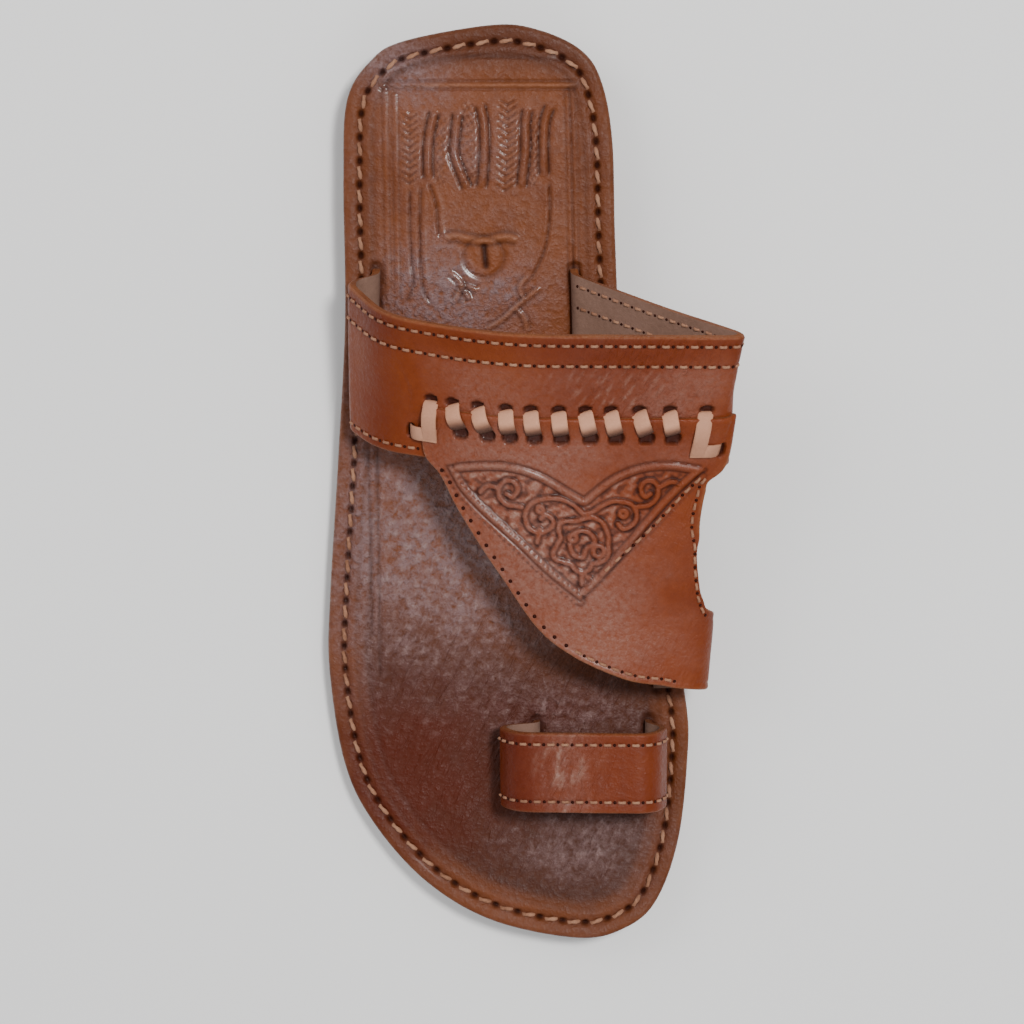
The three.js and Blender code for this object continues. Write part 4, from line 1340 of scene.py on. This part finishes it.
scrolls = {
    "leftSpiral": [(-30.7, 105.6), (-27.4, 102.6), (-23.4, 101.1), (-19, 101.2), (-15.2, 103),
                   (-13.8, 106.5), (-15.2, 110.1), (-18.4, 111.2), (-21.4, 109.7), (-21.9, 107.4),
                   (-19.9, 105.9), (-18.4, 107.1)],
    "leftCurl": [(-12.9, 103.6), (-8.8, 103), (-6.5, 101), (-6.2, 98), (-8, 95.9), (-10.6, 96.2),
                 (-11.7, 98.5), (-10.3, 100.6), (-8.5, 99.8)],
    "leftTail": [(-0.7, 99.3), (-3, 97.5), (-6.2, 98)],
    "rightComma": [(-31.6, 105.6), (-33.6, 104.9), (-36.4, 103.2), (-40, 101.9), (-44.4, 102.7),
                   (-46.1, 104.7), (-46.1, 107.4), (-44.7, 109.3), (-42.5, 110.1), (-40.8, 108.6)],
    "rightCurl": [(-46.3, 103.6), (-50, 103), (-52.1, 101), (-52.4, 98), (-50.8, 95.9), (-48.4, 96.2),
                  (-47.4, 98.5), (-48.7, 100.6), (-50.3, 99.8)],
    "rightTail": [(-58.6, 96.8), (-56, 96.2), (-52.4, 98)],
    "rosette": [(-31.9, 106.8), (-29.2, 107.6), (-25.8, 107.8), (-23.9, 108.5), (-23.7, 110.8),
                (-24.2, 112.7), (-23.2, 114.7), (-22, 116.9), (-22.5, 118.9), (-24.9, 119.9), (-27.3, 120.6),
                (-28.3, 122.1), (-30.5, 123.1), (-32.4, 122.4), (-33.4, 120.6), (-34.9, 120.2),
                (-37.5, 119.2), (-38.3, 117.2), (-38, 115.2), (-38.2, 112.7), (-37.5, 110.3),
                (-36.2, 108.1), (-34, 106.8), (-31.9, 106.8)],
    "innerPetals": [(-27.8, 111.6), (-30.4, 110.6), (-33, 111.6), (-34.2, 114.2), (-31.8, 115.8),
                    (-30.6, 118.6), (-27.9, 117.6), (-26.8, 114.8)],
    "stalk": [(-30.5, 123.4), (-30.4, 126.6)],
    "flower": [(-31.8, 124.2), (-33.2, 125.4), (-31.6, 126.6)],
    "twig": [(-18.1, 110.3), (-17.4, 114)],
}
buds = [((-35.3, 116.7), 1.6), ((-27.8, 112.7), 1.0), ((-18.2, 104.3), 0.8), ((-42.4, 105.6), 1.0)]
# the stitched seam beside the heart, outside its inner diagonal
heartSeam = [(-65.4, 94.4), (-60.2, 99.4), (-55, 105.2), (-50, 110.6), (-46.2, 114.2), (-43, 117),
             (-39.7, 120.2), (-36.4, 123.4)]
heartMarks = {
    # the double line round the heart, measured inwards, and the trough of the seam beside it; dark is painted
    # shade and light a painted highlight
    "border": {"height": [(0.35, 1.1, 0.5), (-0.35, 2.5, 0.4), (-0.35, -0.2, 0.4)],
               "dark": [(0.75, 2.5, 0.4), (0.7, -0.2, 0.45)], "light": [(0.16, 1.1, 0.5)]},
    "seam": {"height": [(-0.14, 0, 0.8)], "dark": [(0.35, 1.0, 0.4)]},
}
# soft spots: painted sheen, and a darker tone at the inner edge that is partly painted shade where the panel
# turns down
panelSpots = {
    # strength, centre, radii, turn
    "paintedSheen": [(0.9, (-12, 112), (24, 34), 25), (0.75, (-34, 142), (20, 22)), (0.5, (-18, 88), (36, 6))],
    "deepToneAndShade": [(0.5, (-70, 120), (8, 30))],
}


def panelSurface(a, b, n):
    return surfaceAt(upperTable, *panelPlace(a, b), n)[0]


def heartTooling(xy):
    # scrollwork in a heart, seen in plan: height, the painted shade in the lines and pits, and the painted
    # highlights on the glossy ground
    loop = np.vstack([heart["topLeft"], heart["topRight"], heart["right"], heart["left"]])
    inside = insideLoop(xy, loop)
    border = np.full(len(xy), 1e9)
    height = np.zeros(len(xy))
    dark = np.zeros(len(xy))
    for name, line in heart.items():
        gap, share = lineDistance(xy, curveThrough(line, 5))
        border = np.minimum(border, gap)
        if name == "left":
            # pits beside the left edge, dipped and darkened with painted shade
            pits = np.cos(share * walkLength(np.array(line)) * 2 * np.pi / 1.9)
            beside = near(gap - 1.5, 0.5)
            height -= 0.2 * (pits > 0.1) * beside
            dark += 0.6 * (pits > 0.1) * beside
    signed = np.where(inside, border, -border)
    ribbon = np.full(len(xy), 1e9)
    for line in scrolls.values():
        ribbon = np.minimum(ribbon, lineDistance(xy, curveThrough(line, 6))[0])
    for centre, radius in buds:
        ribbon = np.minimum(ribbon, np.abs(np.hypot(*(xy - np.array(centre)).T) - radius))
    half = panelParts["ribbon"]
    reach = smoothStep(2.3, 3.1, signed)
    raised = 1 - smoothStep(0.6 * half, 1.4 * half, ribbon)
    ground = reach * (1 - smoothStep(1.2 * half, 0.4 * half, ribbon))
    pits = waves(xy, 3.6, 41, 2)
    height += panelParts["relief"] * raised * smoothStep(0.5, 2.0, signed) - panelParts["ground"] * reach
    height += 0.14 * np.clip(pits, -1, 1) * ground
    # painted shade at the ribbons' outlines and in the ground's pits, and painted highlights on the ground's
    # raised places
    dark += 0.8 * near(ribbon - 1.5 * half, 0.4) * reach + 0.6 * smoothStep(0.15, 0.6, -pits) * ground
    light = 0.5 * smoothStep(0.0, 0.8, pits) * ground * smoothStep(1.9 * half, 2.6 * half, ribbon)
    layers = {"height": height, "dark": dark, "light": light}
    pressLine(layers, heartMarks["border"], signed)
    # the painted highlights are stronger towards the outer side
    layers["light"] *= 0.35 + 0.65 * smoothStep(-50, -24, xy[:, 0])
    pressLine(layers, heartMarks["seam"], lineDistance(xy, heartSeam)[0])
    return layers["height"], layers["dark"], layers["light"]


def panelWidths(downs):
    # width of the panel on each line, in millimetres
    return np.array([walkLength(panelSurface(np.full(24, d), np.linspace(0, 1, 24), 0.0)) for d in downs])


def makePanel():
    setup = panelParts
    downLength = walkLength(panelSurface(np.linspace(0, 1, 200), np.full(200, 0.5), 0.0))
    aShares = refined(setup["downCount"], setup["edgeRound"], downLength)
    bShares = refined(setup["overCount"], setup["edgeRound"], panelWidths([0.08])[0])
    a, b = np.meshgrid(aShares, bShares, indexing="ij")
    plan = panelSurface(a, b, panelHigh)[..., :2].reshape(-1, 2)
    fromSide = np.minimum(b, 1 - b) * panelWidths(aShares)[:, None]
    edge = np.minimum(fromSide, a * downLength)
    dent = slitDents(*panelPlace(a, b))
    tooled, dark, light = heartTooling(plan)
    height = -roundOff(edge, setup["edgeRound"]) - lacing["slitDepth"] * dent
    height -= setup["seamDip"] * near(fromSide - 2.1, 0.7)
    height += (tooled + 0.07 * waves(plan, 34, 21, 2)).reshape(a.shape)
    # painted sheen, raised further by the painted highlights on the heart's ground
    paintedSheen = spotSum(plan, panelSpots["paintedSheen"]) + 0.18 * waves(plan, 20, 22) + 0.8 * light
    masks = {
        "paintedSheen": np.clip(paintedSheen, 0, 1),
        "deepToneAndShade": spotSum(plan, panelSpots["deepToneAndShade"]),
        "wearAndHighlight": 0.5 * near(fromSide, 0.6) * smoothStep(0.01, 0.04, a),
        "cavityShade": np.clip(1.5 * dent + dark.reshape(a.shape), 0, 1),
        # painted highlights on the heart's ground
        "glint": np.clip(light.reshape(a.shape), 0, 1),
        "wrinkle": 0.35 * np.ones(a.shape),
    }
    piece = slabMesh("front_panel", panelSurface, aShares, bShares, panelHigh + height, panelLow, masks, 4)
    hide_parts("upper")


makePanel()
print("front panel made")


# the toe loop

loopParts = {
    "acrossCount": 181,
    "rowCount": 61,
    "edgeRound": 0.8,
    "seamRows": (0.14, 0.86),
    "otherTroughs": (),
    "seamDip": 0.12,
    "seamWide": 0.7,
    "unevenness": (0.1, 18, 31),
    "crinkle": (4.0, 33, 4.0, 0.15),
    "crinkleHeight": 0.12,
}
loopCreases = [
    ([(0.42, 0.25), (0.44, 0.5), (0.43, 0.75)], 0.22),
    ([(0.5, 0.2), (0.49, 0.45), (0.51, 0.8)], 0.18),
    ([(0.39, 0.3), (0.4, 0.6), (0.385, 0.85)], 0.15),
    ([(0.46, 0.15), (0.465, 0.4), (0.455, 0.7)], 0.2),
    ([(0.535, 0.3), (0.53, 0.55), (0.54, 0.85)], 0.16),
]


def loopPlace(a, b, n):
    return surfaceAt(loopTable, a, b, n)[0]


def makeToeLoop():
    length = walkLength(loopPlace(np.linspace(0, 1, 200), np.full(200, 0.5), 0.0))
    width = walkLength(loopPlace(np.full(20, 0.5), np.linspace(0, 1, 20), 0.0))
    aShares, bShares, a, b, flat, edge, height, ridges, seamShade = strapSheet(
        loopParts, loopCreases, length, width)
    bent = near(a - 0.45, 0.075)
    height += loopParts["crinkleHeight"] * ridges * bent
    masks = {
        # painted sheen in the middle of the loop
        "paintedSheen": np.clip(0.7 * near(a - 0.46, 0.07) * (1 + 0.5 * waves(flat, 7, 32).reshape(a.shape)), 0, 1),
        # a darker tone all over, deeper on the outer side, partly painted shade where the loop turns down
        "deepToneAndShade": np.clip(0.4 + 0.6 * near(a - 0.3, 0.1) - 0.1 * near(a - 0.46, 0.08), 0, 1),
        "wearAndHighlight": 0.3 * near(edge, 0.6),
        "cavityShade": seamShade,
        # painted glints on the small ridges
        "glint": 0.32 * bent * smoothStep(0.1, 0.9, ridges),
        "wrinkle": 1.2 * near(a - 0.47, 0.12),
    }
    piece = slabMesh("toe_loop_strap", loopPlace, aShares, bShares, loopHigh + height, loopLow, masks)
    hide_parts("toe_loop")


makeToeLoop()
print("toe loop made")


# the thong laced through band and panel


def ribbonPoints(stations, width, thickness):
    # a flat strip with soft corners along stations of across, row and offset of its middle
    stations = np.asarray(stations, float)
    way = (stations[-1, :2] - stations[0, :2]) * (acrossLength, rowLength)
    side = np.array([-way[1], way[0]]) / np.linalg.norm(way)
    turn = np.linspace(0, 2 * np.pi, 16, endpoint=False)
    u = np.sign(np.cos(turn)) * np.abs(np.cos(turn)) ** 0.45 * width / 2
    v = np.sign(np.sin(turn)) * np.abs(np.sin(turn)) ** 0.6 * thickness / 2
    v = v - 0.12 * (u / (width / 2)) ** 2
    across = stations[:, 0, None] + u[None, :] * side[0] / acrossLength
    row = stations[:, 1, None] + u[None, :] * side[1] / rowLength
    return surfaceAt(upperTable, across, row, stations[:, 2, None] + v[None, :])[0]


def slatStations(topAcross, lowAcross, endRow, sinks):
    # out of the top slit, over the panel's edge, and into the bottom slit or on top of the bar
    t = np.concatenate([np.linspace(0, 0.14, 6), np.linspace(0.2, 0.74, 8), np.linspace(0.8, 1, 8)])
    lowEnd = (3.3, 2.4, 0.9) if sinks else (3.7, 3.6, 3.5)
    over = np.interp(t, [0, 0.06, 0.16, 0.34, 0.6, 0.82, 0.92, 1], [0.1, 1.3, 2.1, 3.6, 4.05, *lowEnd])
    smooth = np.convolve(np.pad(over, 1, mode="edge"), [0.25, 0.5, 0.25], mode="valid")
    top = lacing["topRow"] + 0.004
    # painted shade, darker where the slat goes down into its slit, and a little along the upright ends
    slatShade = smoothStep(0.38, 0.82, t) if sinks else 0.15 + 0.2 * t
    return np.stack([topAcross + (lowAcross - topAcross) * t, top + (endRow - top) * t, smooth, slatShade], -1)


def barStations(end):
    # the short bar at an end, from its slit to under the upright turn
    t = np.linspace(0, 1, 14)
    outward = np.sign(end["barFrom"] - end["across"])
    stop = end["across"] - outward * 0.45 * lacing["width"] / acrossLength
    over = np.interp(t, [0, 0.12, 0.3, 1], [1.0, 2.6, 3.4, 3.3])
    across = end["barFrom"] + (stop - end["barFrom"]) * t
    # the last column is painted shade, darker near the bar's slit
    return np.stack([across, np.full(14, end["barRow"]), over, 0.5 * (1 - t)], -1)


def makeThong():
    lowRow = lacing["bottomRow"] - 0.028
    runs = [slatStations(top, low, lowRow, True) for top, low in lacing["turns"]]
    for end in (lacing["firstEnd"], lacing["lastEnd"]):
        runs += [slatStations(end["across"], end["across"], end["barRow"] + 0.03, False), barStations(end)]
    faces, points, slatShade, start = [], [], [], 0
    for run in runs:
        strip = ribbonPoints(run[:, :3], lacing["width"], lacing["thickness"])
        stations, around = strip.shape[:2]
        ids = np.arange(around)
        faces += [gridFaces(stations, around, start, wrap=True), ids[None] + start,
                  ids[None, ::-1] + start + (stations - 1) * around]
        points.append(strip.reshape(-1, 3))
        slatShade.append(np.repeat(run[:, 3], around))
        start += stations * around
    piece = makeMesh("laced_thong", np.vstack(points), faces, [thongLeather],
                     masks={"slatShade": np.concatenate(slatShade)}, sharp=60)
    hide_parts("lacing_thong")


makeThong()
print("thong made")


# threads

rimStitch = {
    "radius": 0.6, "lift": 0.42, "sink": 0.9, "sides": 10, "rings": 13, "ply": 0.16, "twist": 1.6,
    "slant": 0.42, "clear": 1.35,
}
seamStitch = {
    "radius": 0.46, "lift": 0.22, "sink": 0.45, "sides": 8, "rings": 9, "ply": 0.14, "twist": 1.2,
    "pitch": 4.05, "fill": 0.6, "fromEdge": 2.1,
}


def makeRimStitches():
    inward = np.stack([-holeWays[:, 1], holeWays[:, 0]], -1)
    start = holePlaces + holeWays * rimStitch["clear"] - inward * rimStitch["slant"]
    end = holePlaces - holeWays * rimStitch["clear"] + inward * rimStitch["slant"]
    end = np.roll(end, -1, 0)
    places = [np.column_stack([xy, footbedTop + riseAt(xy[:, 1]) - 0.35]) for xy in (start, end)]
    up = np.tile([0.0, 0.0, 1.0], (len(start), 1))
    piece = stitchMesh("rim_saddle_stitch", *places, up, rimStitch, waxedThread)


def seamPlaces(table, path, offset, flip=False):
    # stitches along a path of across and row on a strap: starts, ends, normals, and the holes between
    path = curveThrough(path, 12)
    both = np.hstack(surfaceAt(table, path[:, 0], path[:, 1], offset))
    length = np.concatenate([[0], np.cumsum(np.linalg.norm(np.diff(both[:, :3], axis=0), axis=1))])
    count = int(length[-1] / seamStitch["pitch"])
    at = (np.arange(count) + 0.5) * length[-1] / count
    half = seamStitch["pitch"] * seamStitch["fill"] / 2

    def on(where):
        return np.stack([np.interp(where, length, both[:, k]) for k in range(6)], -1)

    sign = -1 if flip else 1
    holes = on(at + length[-1] / count / 2)
    return on(at - half)[:, :3], on(at + half)[:, :3], sign * on(at)[:, 3:], holes[:, :3], sign * holes[:, 3:]


def makeNeedleHoles(name, places, normals, radius):
    # needle holes painted as small dark shade, as low lens shapes let into the leather
    up = normals / np.linalg.norm(normals, axis=1, keepdims=True)
    side = np.cross(up, np.tile([0.3, 0.5, 0.81], (len(up), 1)))
    side /= np.linalg.norm(side, axis=1, keepdims=True)
    other = np.cross(up, side)
    sides, count = 8, len(places)
    phi = np.linspace(0, 2 * np.pi, sides, endpoint=False)[None, :, None]
    ring = places[:, None] + radius * (side[:, None] * np.cos(phi) + other[:, None] * np.sin(phi))
    points = np.concatenate([ring.reshape(-1, 3), places + up * 0.1, places - up * 0.4])
    base = (np.arange(count) * sides)[:, None]
    a, b = (base + np.arange(sides)).ravel(), (base + (np.arange(sides) + 1) % sides).ravel()
    above = np.repeat(count * sides + np.arange(count), sides)
    faces = [np.stack([a, b, above], -1), np.stack([b, a, above + count], -1)]
    piece = makeMesh(name, points, faces, [needleHoleShade], sharp=0)


def crossSeam(table, low, high, count, row, offset, flip=False):
    return seamPlaces(table, [(x, row) for x in np.linspace(low, high, count)], offset, flip)


def panelEdgeSeam(low, high, count, fromInner):
    # beside the panel's outer or inner edge, from low to high on its way down
    downs = np.linspace(low, high, count)
    shares = seamStitch["fromEdge"] / panelWidths(downs)
    path = list(zip(*panelPlace(downs, 1 - shares if fromInner else shares)))
    return seamPlaces(upperTable, path, panelHigh)


def panelPlacesUnder(line):
    # across and row of the panel's places under a line drawn in plan
    a, b = np.meshgrid(np.linspace(0, 1, 500), np.linspace(0, 1, 400), indexing="ij")
    plan = panelSurface(a, b, panelHigh)[..., :2].reshape(-1, 2)
    nearest = [int(np.argmin(((plan - spot) ** 2).sum(1))) for spot in line]
    return list(zip(*panelPlace(a.ravel()[nearest], b.ravel()[nearest])))


def makeSeams():
    runs = []
    for row in bandParts["seamRows"]:
        runs.append(crossSeam(upperTable, 0.045, 0.955, 30, row, bandHigh))
        runs.append(crossSeam(upperTable, 0.7, 0.955, 14, row, bandLow, flip=True))
    runs.append(crossSeam(upperTable, 0.045, 0.225, 8, bandParts["otherTroughs"][0], bandHigh))
    runs.append(panelEdgeSeam(0.46, 0.66, 10, False))
    runs.append(panelEdgeSeam(0.1, 0.8, 30, True))
    runs.append(seamPlaces(upperTable, panelPlacesUnder(heartSeam), panelHigh))
    for row in loopParts["seamRows"]:
        runs.append(crossSeam(loopTable, 0.08, 0.92, 24, row, loopHigh))
    # on its upper part the outer edge shows only the row of holes
    bare = panelEdgeSeam(0.08, 0.45, 20, False)
    starts, ends, normals, holes, holeNormals = (np.vstack(part) for part in zip(*runs))
    piece = stitchMesh("strap_seams", starts, ends, normals, seamStitch, waxedThread)
    makeNeedleHoles("needle_hole_shade", holes, holeNormals, 0.5)
    makeNeedleHoles("edge_pit_shade", bare[3], bare[4], 0.6)


makeRimStitches()
makeSeams()
print("threads made")


# floor and studio light

studio = {
    "floorSize": 6.0,
    "floorColors": [(0.86, 0.86, 0.86, 1), (0.9, 0.9, 0.89, 1)],
    "worldStrength": 0.45,
    "worldColor": (0.95, 0.97, 1.0, 1),
    "lightColor": (1.0, 0.985, 0.97),
    "lights": [
        # name, place, aimed at, size, power
        ("key", (-0.36, -0.26, 1.42), (0.0, 0.1, 0.0), (0.22, 0.22), 19.5),
        ("fillOuter", (0.9, -0.5, 1.0), (0.0, 0.1, 0.0), (0.9, 0.9), 6.0),
        ("fillToe", (-0.2, 1.1, 0.9), (0.0, 0.1, 0.0), (1.0, 0.8), 3.5),
    ],
}


def makeFloor():
    half = studio["floorSize"] / 2
    corners = [(-half, -half, 0), (half, -half, 0), (half, half, 0), (-half, half, 0)]
    mesh = bpy.data.meshes.new("floor")
    mesh.from_pydata(corners, [], [(0, 1, 2, 3)])
    floor = bpy.data.objects.new("floor", mesh)
    material = bpy.data.materials.new("paleFloor")
    material.use_nodes = True
    tree = material.node_tree
    place = addNode(tree, "ShaderNodeTexCoord").outputs["Object"]
    cloud = noiseAt(tree, place, 6.0, 2.0)["Fac"]
    setInputs(tree, tree.nodes["Principled BSDF"], {
        "Base Color": mixColor(tree, cloud, *studio["floorColors"]),
        "Roughness": 0.9, "Specular IOR Level": 0.2,
    })
    mesh.materials.append(material)
    bpy.context.scene.collection.objects.link(floor)


def makeLights():
    for name, place, aim, size, power in studio["lights"]:
        data = bpy.data.lights.new(name, "AREA")
        data.shape = "RECTANGLE"
        data.size, data.size_y = size
        data.energy = power
        data.color = studio["lightColor"]
        light = bpy.data.objects.new(name, data)
        light.location = place
        light.rotation_euler = (Vector(aim) - Vector(place)).to_track_quat("-Z", "Y").to_euler()
        bpy.context.scene.collection.objects.link(light)
    world = bpy.data.worlds.new("studio")
    world.use_nodes = True
    setInputs(world.node_tree, world.node_tree.nodes["Background"], {
        "Color": studio["worldColor"], "Strength": studio["worldStrength"],
    })
    bpy.context.scene.world = world


makeFloor()
makeLights()
print("floor and lights ready")
